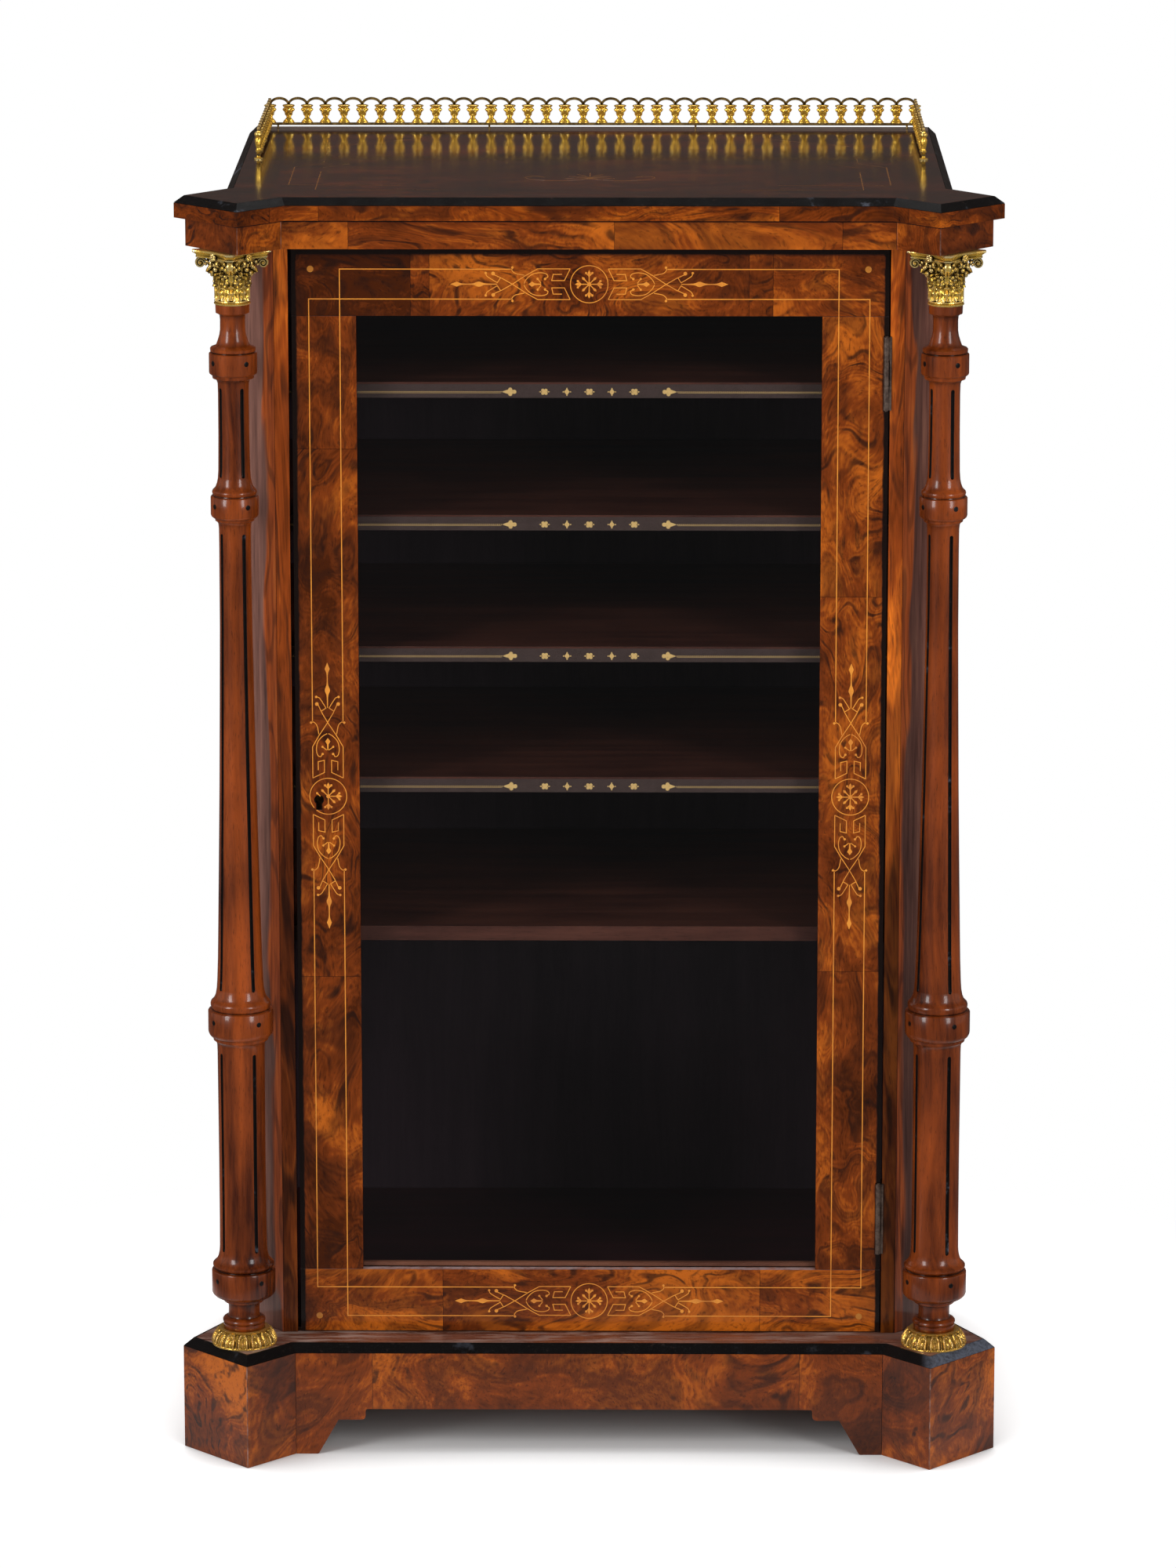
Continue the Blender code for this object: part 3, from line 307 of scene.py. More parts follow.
def burr_walnut(name, colours, cuts=None, stretch=(1, 1, 1), seed=0.0, gloss=0.17, size=1.0, edges=None,
                arrises=(), top_shade=None, seam=None, coat=0.22, fall=None):
    """Burr walnut veneer: clouds of orange and brown, dark lines that swirl, pin knots and pores.

    Cuts gives the joints between leaves of veneer and each leaf's tone, edges the door's edges, which get a
    dark band along the sides and a painted shadow under the head, arrises the upright edges that get a pale
    line of rubbed wear and painted highlight, seam the height of a painted shadow line under the slab, and
    fall the painted shade at the foot and the painted light at the head of a strip that darkens downwards."""
    finish = Finish(name)
    here = finish.place()
    place = finish.vector("ADD", here, (seed, seed * 0.7, seed * 1.3))
    tone = 0
    joint = None
    if cuts:
        leaf, tone, along = leaf_of(finish, here, cuts)
        place = finish.vector("ADD", place, combined(finish, *[leaf * shift for shift in LEAF_SHIFT]))
        for value in cuts[1]:
            near = finish.node("ShaderNodeMath", {"operation": "COMPARE"},
                               {0: along, 1: value, 2: JOINT_HALF})
            joint = near if joint is None else joint + near
    figured = finish.stretched(place, stretch)
    swirl = warped(finish, warped(finish, figured, 9 / size, 0.085 * size), 36, 0.012)
    field = finish.noise(swirl, 13 / size, 3, 0.5)
    cloud = finish.noise(warped(finish, figured, 12 / size, 0.05 * size), 17 / size, 4, 0.58)
    patch = finish.noise(place, 13 / size, 2, 0.5)
    mottle = finish.noise(swirl, 150, 3, 0.6)
    ragged = finish.noise(swirl, 100, 2, 0.55).between(0.34, 0.62)
    ink = (field * 112).wave().between(0.62, 1.0) * patch.between(0.36, 0.58) * ragged
    soft = (field * 46 + cloud * 5).wave().between(0.35, 1.0) * patch.between(0.66, 0.44)
    streak = (field * 300).wave() - 0.5
    pores = finish.noise(finish.stretched(swirl, (700, 700, 260)), 1, 2, 0.6).between(0.56, 0.70)
    cells = finish.cells(swirl, 75, "F1")
    eyes = cells.between(0.26, 0.08) * finish.noise(place, 27, 2, 0.5).between(0.54, 0.66)
    fibre = finish.noise(finish.stretched(swirl, (1, 1, 0.3)), 620, 3, 0.65)
    light = (cloud - 0.5) * 2.3 + 0.50 + streak * 0.12 + (mottle - 0.5) * 0.55 + (fibre - 0.5) * 0.5 + tone
    wood = finish.ramp(light, [
        (0.04, dimmed(colours.burr_middle, 0.30)), (0.30, dimmed(colours.burr_middle, 0.66)),
        (0.52, colours.burr_middle), (0.90, colours.burr_light)])
    wood = finish.mix(soft * 0.46, wood, colours.burr_dark)
    wood = finish.mix(ink * 0.80, wood, colours.burr_dark)
    wood = finish.mix(eyes * 0.80, wood, colours.burr_dark)
    wood = finish.mix(pores * 0.45, wood, dimmed(colours.burr_dark, 0.5))
    if joint is not None:
        wood = finish.mix(joint * 0.65, wood, dimmed(colours.burr_dark, 0.5))
    # Painted shade towards the foot and painted light towards the head, with a ragged border
    if fall:
        drift = (finish.noise(place, 9, 2, 0.5) - 0.5) * 0.25
        height = (finish.parts(here)[2] + drift).between(0.40, 0.62)
        wood = finish.tinted(wood, height * (fall[1] - fall[0]) + fall[0])
    if top_shade:
        wood = polished_top(finish, here, place, wood, top_shade)
    if edges:
        wood = door_edges_shadow_and_dust(finish, here, place, wood, pores, edges)
    for x, y in arrises:
        # Pale lines down upright edges: rubbed wear and a painted highlight
        wood = finish.mix(arris_wear_and_highlight(finish, here, x, y), wood, srgb(164, 126, 110))
    # A painted shadow line along the frieze's top edge, under the slab
    if seam:
        wood = finish.mix(finish.parts(here)[2].between(seam - 0.0019, seam - 0.0011) * 0.92, wood,
                          srgb(16, 10, 9))
    ripple = finish.bump(cloud * 0.5 + pores * -0.08, 0.0004, 0.2)
    return finish.surface(Base_Color=wood, Roughness=mottle * 0.10 + gloss, Normal=ripple,
                          Coat_Weight=coat, Coat_Roughness=0.06, Specular_IOR_Level=0.25)


# Where a pale band along the slab's back edge, under the gallery, begins and where it is full, behind the
# cabinet's middle
BACK_PALE_BAND = (0.1990, 0.2135)


def polished_top(finish, here, place, wood, shade):
    """The slab's upper face: darker polish with long stains, fine scratches, dust and a pale band along the
    back edge.
    """
    facing = finish.facing("Z") > 0.7
    wood = finish.mix(facing, wood, finish.tinted(wood, shade))
    stains = finish.noise(finish.stretched(place, (0.07, 1, 1)), 150, 4, 0.65)
    wood = finish.mix(facing * stains.between(0.50, 0.36) * 0.6, wood, srgb(24, 12, 10))
    scratches = finish.noise(finish.stretched(place, (0.05, 1, 1)), 520, 3, 0.65).between(0.56, 0.74)
    wood = finish.mix(facing * scratches * 0.22, wood, srgb(150, 112, 92))
    dust = finish.noise(place, 700, 2, 0.6).between(0.63, 0.74)
    wood = finish.mix(facing * dust * 0.30, wood, srgb(170, 148, 136))
    back_pale_band = finish.parts(here)[1].between(*BACK_PALE_BAND) * (dust * 0.3 + stains * 0.8 + 0.15)
    return finish.mix(facing * back_pale_band * 0.8, wood, srgb(166, 150, 138))


def door_edges_shadow_and_dust(finish, here, place, wood, pores, edges):
    """The door's edges, dark along the sides with a painted shadow under the head, its plain wood inside,
    and dust on faces that look up.
    """
    plain = finish.ramp(finish.noise(finish.stretched(place, (0.6, 1, 0.08)), 90, 4, 0.6), [
        (0.30, srgb(70, 38, 22)), (0.52, srgb(112, 64, 36)), (0.75, srgb(142, 86, 50))])
    plain = finish.mix(pores * 0.4, plain, srgb(40, 22, 14))
    # Dark band along the door's sides, and painted shadow under its head
    wood = finish.mix(dark_edges_and_head_shadow(finish, here, edges), wood, srgb(24, 14, 11))
    wood = finish.mix(finish.facing("Y") > 0.7, wood, plain)
    dusty = finish.noise(place, 120, 3, 0.6).between(0.30, 0.62) * 0.5 + 0.35
    return finish.mix((finish.facing("Z") > 0.7) * dusty, wood, srgb(190, 168, 168))


DARK_EDGE_WIDTH = (0.0050, 0.00275)  # where the dark band along the door's sides ends, and where it is full


def dark_edges_and_head_shadow(finish, place, edges):
    """A dark band along the door's outer edges and a painted shadow under its head, where the frieze
    overhangs it, ragged on the inner side.
    """
    low, high, head = edges
    wide, narrow = DARK_EDGE_WIDTH
    x, _, z = finish.parts(place)
    ragged = (finish.noise(place, 60, 3, 0.6) - 0.5) * 0.0022
    across = x + ragged
    sides = across.between(low + wide, low + narrow) + across.between(high - wide, high - narrow)
    return (sides + (z + ragged * 0.4).between(head - 0.0088, head - 0.0046)).between(0, 1)


def arris_wear_and_highlight(finish, place, x, y):
    """A pale line down an upright edge: rubbed wear with a painted highlight."""
    worn = finish.noise(place, 95, 3, 0.6).between(0.42, 0.62)
    off = finish.vector("SUBTRACT", finish.stretched(place, (1, 1, 0)), (x, y, 0))
    across, back, _ = finish.parts(off)
    away = (across * across + back * back) ** 0.5
    return away.between(0.0011, 0.0004) * (worn * 0.60 + 0.12)


def plain_walnut(name, colours, grain="Z", seed=0.0, shade=1.0, light=None, dark=None, gloss=0.20,
                 pore_mix=0.45, coat=0.25, painted_crease_shade=False, boards=None):
    """Straight-grained wood with drifting streaks and open pores, along one axis.

    painted_crease_shade paints shade into what lies in a hollow. Boards gives the width of the boards that
    the back shows on its outside."""
    finish = Finish(name)
    place = finish.vector("ADD", finish.place(), (seed, seed * 1.7, seed * 0.6))
    slow = [1.0 if axis != grain else 0.07 for axis in "XYZ"]
    along = finish.stretched(warped(finish, place, 3.5, 0.03), slow)
    streak = finish.noise(along, 46, 4, 0.6)
    fine = finish.noise(along, 260, 3, 0.6)
    figure = (finish.noise(along, 13, 2, 0.5) * 42).wave()
    drift = finish.noise(place, 9, 3, 0.55)
    pore_place = finish.stretched(place, [1300 if axis != grain else 120 for axis in "XYZ"])
    pores = finish.noise(pore_place, 1, 2, 0.6).between(0.57, 0.70)
    light = light or colours.walnut_light
    dark = dark or colours.walnut_dark
    value = streak * 1.0 + figure * 0.16 + drift * 0.9 + (fine - 0.5) * 0.5 - 0.55
    wood = finish.ramp(value, [(0.16, dark), (0.50, [0.5 * (a + b) for a, b in zip(light, dark)]),
                               (0.84, light)])
    wood = finish.mix(pores * pore_mix, wood, dimmed(dark, 0.4))
    if boards:
        wood = finish.mix(finish.facing("Y") > 0.5, wood, back_boards(finish, value, pores, boards))
    if painted_crease_shade:
        # Painted shade in the creases, found by pointiness
        pointed = finish.node("ShaderNodeNewGeometry", output="Pointiness")
        wood = finish.mix((pointed + (fine - 0.5) * 0.02).between(0.497, 0.445) * 0.85, wood,
                          dimmed(dark, 0.25))
    relief = finish.bump(pores * -0.3 + streak * 0.3, 0.0003, 0.25)
    return finish.surface(Base_Color=finish.tinted(wood, shade), Roughness=streak * 0.12 + gloss,
                          Normal=relief, Coat_Weight=coat, Coat_Roughness=0.10, Specular_IOR_Level=0.25)


def back_boards(finish, figure, pores, width):
    """Stained boards side by side, each of its own tone, with a dark joint between them."""
    across = finish.parts(finish.place())[0] / width + 10.5
    number = finish.node("ShaderNodeMath", {"operation": "FLOOR"}, {0: across})
    wood = finish.ramp(figure + (number * 2.4).wave() * 0.22 - 0.10, [
        (0.16, srgb(52, 31, 22)), (0.50, srgb(92, 58, 40)), (0.84, srgb(124, 84, 58))])
    wood = finish.mix(pores * 0.5, wood, srgb(34, 20, 15))
    part = across - number
    joint = (part < 0.008) + (part > 0.992)
    return finish.mix(joint * 0.85, wood, srgb(18, 11, 9))


def canted_walnut(name, colours, x_edge, side):
    """Dark walnut with a painted reflection of the orange stile along its inner edge, behind a wandering
    border; the left one has a painted grey sheen.
    """
    finish = Finish(name)
    here = finish.place()
    slow = finish.stretched(here, (1.0, 1.0, 0.16))
    inward = (finish.parts(here)[0] - x_edge) * -side
    wander = (finish.noise(slow, 26, 2, 0.5, 0.8) - 0.5) * 0.030
    # The orange strip along the inner edge is a painted reflection of the stile in the polish
    bright = (inward + wander).between(-0.0085, -0.0055)
    grain = finish.noise(finish.stretched(here, (1, 1, 0.06)), 190, 4, 0.62)
    figure = (finish.noise(slow, 30, 2, 0.5) * 60).wave().between(0.6, 1.0)
    # The left one is paler and greyer: a painted sheen
    painted_sheen = 20 if side < 0 else 0
    dull = finish.ramp(grain, [(stop, srgb(*[value + painted_sheen for value in tone])) for stop, tone in (
        (0.30, (74, 42, 34)), (0.55, (112, 70, 58)), (0.75, (134, 88, 70)))])
    stile_reflection = finish.ramp(grain, [
        (0.30, srgb(122, 50, 14)), (0.52, srgb(200, 92, 26)), (0.72, srgb(232, 120, 40))])
    stile_reflection = finish.mix(figure * 0.45, stile_reflection, colours.burr_dark)
    wood = finish.mix(bright, dull, stile_reflection)
    relief = finish.bump(grain, 0.0003, 0.2)
    return finish.surface(Base_Color=wood, Roughness=grain * 0.12 + 0.13, Normal=relief, Coat_Weight=0.4,
                          Coat_Roughness=0.06, Specular_IOR_Level=0.5)


def scuffed_ledge(name):
    """Reddish polish rubbed pale and dusty along the ledge."""
    finish = Finish(name)
    place = finish.place()
    along = finish.stretched(place, (0.25, 1.6, 1))
    grain = finish.noise(finish.stretched(place, (0.08, 1, 1)), 160, 4, 0.6)
    scuff = finish.noise(along, 90, 4, 0.7).between(0.42, 0.66)
    spots = finish.noise(place, 14, 2, 0.5).between(0.38, 0.60)
    wood = finish.ramp(grain, [
        (0.30, srgb(88, 50, 38)), (0.55, srgb(128, 78, 60)), (0.75, srgb(152, 102, 82))])
    wood = finish.mix(scuff * (spots * 0.50 + 0.20), wood, srgb(198, 172, 160))
    return finish.surface(Base_Color=wood, Roughness=scuff * 0.35 + 0.24,
                          Normal=finish.bump(scuff * 0.4 + grain, 0.0003, 0.3))


def ebonised(name, colours, bruised=None):
    """Black stained polish with rubbed edges, chips, a little dust and worn patches painted a bluish grey
    as a sheen; bruised is where wear and a painted sheen are worst.
    """
    finish = Finish(name)
    place = finish.place()
    rubbed = finish.noise(place, 210, 3, 0.65).between(0.62, 0.76)
    worn = finish.noise(place, 30, 5, 0.7).between(0.58, 0.78)
    dust = finish.noise(place, 900, 2, 0.6).between(0.60, 0.74)
    lumps = finish.noise(place, 130, 3, 0.6)
    if bruised:
        off = finish.vector("SUBTRACT", place, bruised)
        away = finish.node("ShaderNodeVectorMath", {"operation": "LENGTH"}, {0: off}, "Value")
        # The painted sheen lies only on the block's right-hand face, where the light from the right falls
        corner = finish.parts(place)[0].between(bruised[0] - 0.036, bruised[0] - 0.024)
        worst_wear_and_sheen = away.between(0.062, 0.036) * corner
        chips = finish.noise(warped(finish, place, 80, 0.006), 330, 5, 0.75).between(0.30, 0.66)
        worn = worn * 0.3 + worst_wear_and_sheen * (chips * 0.55 + 0.22)
        lumps = lumps + chips * worst_wear_and_sheen * 3.0
    base = finish.mix(rubbed * 0.5, colours.ebony, srgb(60, 46, 40))
    # Worn patches in bluish grey: wear, with a painted sheen of the light
    base = finish.mix(worn * 0.8, base, srgb(120, 126, 142))
    base = finish.mix(dust * 0.08, base, srgb(120, 118, 118))
    roughness = finish.noise(place, 60, 3, 0.6) * 0.3 + 0.22
    return finish.surface(Base_Color=base, Roughness=roughness, Specular_IOR_Level=0.18,
                          Normal=finish.bump(lumps, 0.0006, 0.3))


def gilt_brass(name, colours, wear=0.5, shade=(1, 1, 1), shade_reach=0.0045):
    """Cast and gilt brass with dulled patches, dark in its recesses with grime and painted shade, and pale
    on its crests with rubbed gilt and a painted highlight.

    shade_reach is how wide a recess may be that still gets painted shade."""
    finish = Finish(name)
    place = finish.place()
    pointed = finish.node("ShaderNodeNewGeometry", output="Pointiness")
    grime = finish.noise(place, 160, 3, 0.6)
    worn = pointed + (grime - 0.5) * 0.05
    hollow = worn.between(0.497, 0.415)
    crest_wear_and_highlight = worn.between(0.53, 0.60)
    # Ambient occlusion paints shade into the recesses, on top of the grime
    occlusion_shade = finish.node("ShaderNodeAmbientOcclusion", {"samples": 6, "only_local": True},
                            {"Distance": shade_reach}, "AO")
    hollow = (hollow + (occlusion_shade + (grime - 0.5) * 0.25).between(0.84, 0.34)).between(0.0, 1.0)
    patches = finish.noise(place, 70, 2, 0.5).between(0.5, 0.75)
    base = finish.mix(patches * wear * 0.5, colours.gilt, srgb(198, 150, 66))
    # Crests paler: rubbed gilt and a painted highlight
    base = finish.mix(crest_wear_and_highlight * 0.8, base, srgb(255, 236, 176))
    base = finish.tinted(base, shade)
    # Recesses darkened with grime and painted shade
    base = finish.mix(hollow * 0.95, base, colours.gilt_recess)
    roughness = grime * 0.16 + hollow * 0.2 + 0.15
    chased = finish.noise(place, 300, 2, 0.5) + finish.noise(place, 700, 2, 0.6) * 0.4
    grain = finish.bump(chased, 0.0009, 0.5)
    return finish.surface(Base_Color=base, Roughness=roughness, Metallic=0.74, Normal=grain)


def aged_metal(name, light, dark, metallic=0.85, rough=0.34):
    """Dull metal mottled with age."""
    finish = Finish(name)
    place = finish.place()
    mottle = finish.noise(place, 240, 4, 0.65)
    rub = finish.noise(finish.stretched(place, (1, 1, 0.12)), 900, 2, 0.5)
    base = finish.mix(mottle.between(0.35, 0.68), dark, light)
    return finish.surface(Base_Color=base, Roughness=mottle * 0.25 + rough, Metallic=metallic,
                          Normal=finish.bump(rub * 0.5 + mottle, 0.0002, 0.4))


def tooled_gilt(name):
    """Gold leaf pressed into leather, rubbed through in places."""
    finish = Finish(name)
    place = finish.place()
    rubbed = finish.noise(place, 420, 3, 0.65).between(0.54, 0.70)
    base = finish.mix(rubbed * 0.45, srgb(246, 206, 128), srgb(176, 128, 74))
    return finish.surface(Base_Color=base, Roughness=rubbed * 0.2 + 0.35)


def dark_leather(name, colours):
    """Pebbled leather, darker in patches and along the creases between its pebbles."""
    finish = Finish(name)
    place = finish.place()
    cells = finish.cells(warped(finish, place, 900, 0.0005), 1500, "DISTANCE_TO_EDGE")
    patch = finish.noise(place, 75, 3, 0.6)
    base = finish.mix(patch.between(0.40, 0.66) * 0.55, colours.leather, srgb(76, 58, 50))
    base = finish.mix(cells.between(0.16, 0.02) * 0.45, base, dimmed(colours.leather, 0.3))
    return finish.surface(Base_Color=base, Roughness=patch * 0.25 + 0.42,
                          Normal=finish.bump(cells.between(0, 0.2), 0.0003, 0.6))


HEAD_ON = 0.03      # share of light that the glass reflects when it is looked at squarely


def old_glass(name):
    """Clear thin glass that reflects a little, most at a slant."""
    finish = Finish(name)
    place = finish.place()
    seep = finish.bump(finish.noise(place, 7, 2, 0.4), 0.004, 0.06)
    slant = finish.node("ShaderNodeLayerWeight", None, {"Blend": 0.5, "Normal": seep}, "Facing")
    mirror = slant ** 5 * (1 - HEAD_ON) + HEAD_ON
    clear = finish.node("ShaderNodeBsdfTransparent", None, {"Color": srgb(244, 244, 245)})
    shine = finish.node("ShaderNodeBsdfPrincipled", None, {
        "Base Color": (0.9, 0.9, 0.9), "Metallic": 1.0, "Roughness": 0.03, "Normal": seep})
    return finish.show(finish.shader_mix(mirror, clear, shine))


def boxwood(name, colours, shade=1.0):
    """Pale inlay wood, toned here and there by the polish."""
    finish = Finish(name)
    place = finish.place()
    tone = finish.noise(place, 45, 3, 0.6)
    grain = finish.noise(place, 1500, 2, 0.5)
    base = finish.mix(tone.between(0.4, 0.75) * 0.6, colours.boxwood, srgb(178, 98, 36))
    base = finish.mix(grain * 0.12, base, srgb(120, 60, 20))
    return finish.surface(Base_Color=finish.tinted(base, shade), Roughness=tone * 0.1 + 0.22,
                          Coat_Weight=0.3, Coat_Roughness=0.08)


FINISHES = {}


def keep(make, name, *values, **settings):
    FINISHES[name] = make(name, *values, **settings)


def mesh_piece(name, verts, faces, finishes, body, slots=None, smooth=True, sharp=38):
    """A new piece of the cabinet from its points and faces, which rides on a body."""
    mesh = bpy.data.meshes.new(name)
    mesh.from_pydata([tuple(v) for v in verts], [], faces)
    for finish in finishes:
        mesh.materials.append(FINISHES[finish])
    if slots:
        mesh.polygons.foreach_set("material_index", slots)
    mesh.validate()
    mesh.update()
    if smooth:
        mesh.shade_smooth()
        mesh.set_sharp_from_angle(angle=math.radians(sharp))
    item = bpy.data.objects.new(name, mesh)
    bpy.context.scene.collection.objects.link(item)
    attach(item, body)
    return item


class Shape:
    """Points and faces gathered for one piece."""

    def __init__(self):
        self.verts = []
        self.faces = []
        self.slots = []

    def add(self, verts, faces, slot=0):
        """Add a closed skin, turned so that its faces look outwards."""
        verts = [Vector(v) for v in verts]
        middle = sum(verts, Vector((0, 0, 0))) / len(verts)
        filled = 0.0
        for face in faces:
            corners = [verts[i] - middle for i in face]
            for second, third in zip(corners[1:], corners[2:]):
                filled += corners[0].dot(second.cross(third))
        if filled < 0:
            faces = [tuple(reversed(face)) for face in faces]
        base = len(self.verts)
        self.verts += verts
        self.faces += [tuple(base + i for i in face) for face in faces]
        self.slots += [slot] * len(faces)

    def grid(self, rows, slot=0):
        """Skin closed rows of equal length, and fill the first and the last."""
        count = len(rows[0])
        faces = []
        for i in range(len(rows) - 1):
            for j in range(count):
                a, b = i * count + j, i * count + (j + 1) % count
                faces.append((a, b, b + count, a + count))
        faces.append(tuple(reversed(range(count))))
        faces.append(tuple((len(rows) - 1) * count + j for j in range(count)))
        self.add([v for row in rows for v in row], faces, slot)

    def lathe(self, profile, centre, steps, slot=0, swell=None):
        """Turn (radius, height) points, given upwards, about a vertical axis."""
        rows = []
        for radius, height in profile:
            row = []
            for i in range(steps):
                angle = 2 * math.pi * i / steps
                grown = radius * (1 + swell(angle, height)) if swell else radius
                row.append((centre[0] + grown * math.cos(angle), centre[1] + grown * math.sin(angle),
                            centre[2] + height))
            rows.append(row)
        self.grid(rows, slot)

    def made(self, name, finishes, body, **options):
        return mesh_piece(name, self.verts, self.faces, finishes, body, self.slots, **options)


def smooth_line(points, steps=6):
    """A soft curve through the given points."""
    if len(points) < 3:
        return list(points)
    ends = [points[0]] + list(points) + [points[-1]]
    line = []
    for i in range(1, len(ends) - 2):
        p0, p1, p2, p3 = ends[i - 1:i + 3]
        for k in range(steps):
            t = k / steps
            line.append(tuple(
                0.5 * (2 * b + (c - a) * t + (2 * a - 5 * b + 4 * c - d) * t * t
                       + (3 * b - a - 3 * c + d) * t ** 3)
                for a, b, c, d in zip(p0, p1, p2, p3)))
    return line + [tuple(points[-1])]


def stroke(points, width, closed=False):
    """The outline of a line of even width along flat points, with square ends and mitred turns."""
    points = [Vector(p) for p in points]
    count = len(points)
    left, right = [], []
    for i, point in enumerate(points):
        before = points[i - 1] if i or closed else None
        after = points[(i + 1) % count] if i < count - 1 or closed else None
        ways = [(b - a).normalized() for a, b in ((before, point), (point, after))
                if a is not None and b is not None]
        way = sum(ways[1:], ways[0]).normalized()
        side = Vector((-way.y, way.x))
        turn = max(abs(side.dot(Vector((-ways[0].y, ways[0].x)))), 0.35)
        reach = width / 2 / turn
        left.append(point + side * reach)
        right.append(point - side * reach)
    if closed:
        return [[left[i], left[(i + 1) % count], right[(i + 1) % count], right[i]] for i in range(count)]
    return [left + right[::-1]]


def disc(centre, radius, steps):
    return [[(centre[0] + radius * math.cos(2 * math.pi * i / steps),
              centre[1] + radius * math.sin(2 * math.pi * i / steps)) for i in range(steps)]]


SUNK = 0.0001       # how deep inlay goes into the face that it is let into


def inlay(name, outlines, place, finish, body, proud):
    """Thin flat shapes let into a face: place turns a flat point and a height above it into space.

    Each stands a little prouder than the one before, in turns of seven, so that where two cross
    their faces don't share a plane."""
    shape = Shape()
    for number, outline in enumerate(outlines):
        points = [Vector(p) for p in outline]
        area = sum(a.x * b.y - b.x * a.y for a, b in zip(points, points[1:] + points[:1]))
        if area < 0:
            points.reverse()
        lift = proud * (1 + 0.02 * (number % 7))
        count = len(points)
        low = [place(p, -SUNK) for p in points]
        high = [place(p, lift) for p in points]
        faces = [tuple(reversed(range(count))), tuple(range(count, 2 * count))]
        faces += [(i, (i + 1) % count, (i + 1) % count + count, i + count) for i in range(count)]
        shape.add(low + high, faces)
    return shape.made(name, [finish], body, smooth=False)


# Half of the door's ornament, in millimetres from the roundel's centre: across, then up
MOTIF_LINES = (
    ((15.1, 12.3), (19.7, 2.9), (29.8, 2.9), (28.6, 7.9), (21.6, 7.9)),
    ((15.1, 12.3), (41.0, 12.3), (50.3, 7.0), (59.9, 0.7), (69.0, -4.6), (76.5, -8.0)),
)
MOTIF_CURVES = (
    ((35.2, 4.6), (32.8, 5.8), (34.0, 8.2), (39.0, 9.2), (45.2, 7.9), (49.8, 4.0), (51.8, 0.5)),
    ((60.7, 13.3), (61.3, 11.2), (58.4, 8.6), (51.4, 7.2)),
    ((73.0, 1.3), (77.7, 4.1), (81.2, 6.5), (82.1, 8.8)),
    ((73.0, 1.0), (70.2, 5.4)),
    ((38.2, 0.8), (40.7, 4.1)),
)
MOTIF_DOTS = ((76.2, -8.6, 1.5), (60.9, 13.4, 1.0), (82.1, 9.0, 1.0), (40.9, 4.3, 0.9), (35.0, 4.2, 1.0))
MOTIF_BUD = ((38.2, 0.45), (43.0, 0.7), (45.4, 2.1), (48.2, 0))
MOTIF_SPEAR = ((73.0, 0.35), (80.5, 0.5), (84.0, 0.9), (87.6, 2.1), (92.0, 0.7), (97.0, 0.4), (101.5, 0.7),
               (105.1, 2.0), (110.3, 0))
ROUNDEL_RADIUS = 14.9
STRING_END = 62.0


def mirrored_shape(half):
    """A shape symmetric about the flat axis, from its upper edge."""
    return [list(half) + [(x, -y) for x, y in reversed(half) if y]]


def petal(angle, length, width, start):
    """One leaf of the roundel's flower, from start to length, with a broad end."""
    shape = ((start, 0.35), (length * 0.55, 0.45), (length * 0.80, width), (length, 0))
    cos, sin = math.cos(angle), math.sin(angle)
    whole = list(shape) + [(x, -y) for x, y in reversed(shape[:-1])]
    return [[(x * cos - y * sin, x * sin + y * cos) for x, y in whole]]


def roundel_flower():
    """An eight-armed flower: four arms with three leaves, four plain ones."""
    outlines = disc((0, 0), 1.6, 16)
    for i in range(4):
        angle = i * math.pi / 2
        outlines += petal(angle, 11.4, 1.25, 1.0)
        foot = Vector((6.3 * math.cos(angle), 6.3 * math.sin(angle)))
        for turn in (-0.75, 0.75):
            side = petal(angle + turn, 4.8, 1.05, 0.0)[0]
            outlines.append([(x + foot.x, y + foot.y) for x, y in side])
        outlines += petal(angle + math.pi / 4, 8.2, 1.1, 1.0)
    return outlines


def ornament_outlines(line_width):
    """The whole of one ornament, in millimetres about its centre."""
    outlines = roundel_flower()
    outlines += stroke(disc((0, 0), ROUNDEL_RADIUS, 72)[0], line_width, True)
    half = []
    for up in (1, -1):
        for line in MOTIF_LINES:
            half += stroke([(x, up * y) for x, y in line], line_width)
        for curve in MOTIF_CURVES:
            half += stroke(smooth_line([(x, up * y) for x, y in curve]), line_width)
        for x, y, radius in MOTIF_DOTS:
            half += disc((x, up * y), radius, 14)
    half += mirrored_shape(MOTIF_BUD)
    half += mirrored_shape(smooth_line(MOTIF_SPEAR[:-1], 4) + [MOTIF_SPEAR[-1]])
    outlines += half
    outlines += [[(-p[0], p[1]) for p in outline] for outline in half]
    return outlines


def scaled(outlines, factor):
    return [[(p[0] * factor, p[1] * factor) for p in outline] for outline in outlines]


class CabinetOperator(bpy.types.Operator):
    """Shared base of the cabinet's steps."""
    bl_options = {"REGISTER", "UNDO"}

    @property
    def colours(self):
        return bpy.context.scene.cabinet_colours

    @property
    def sizes(self):
        return bpy.context.scene.cabinet_sizes


def both_sides(*stems):
    return [stem + side for stem in stems for side in SIDES]


# Where the canted face of a plinth or frieze block meets the front: x on the right side, then y
INNER_ARRIS = (0.2426, -0.1842)
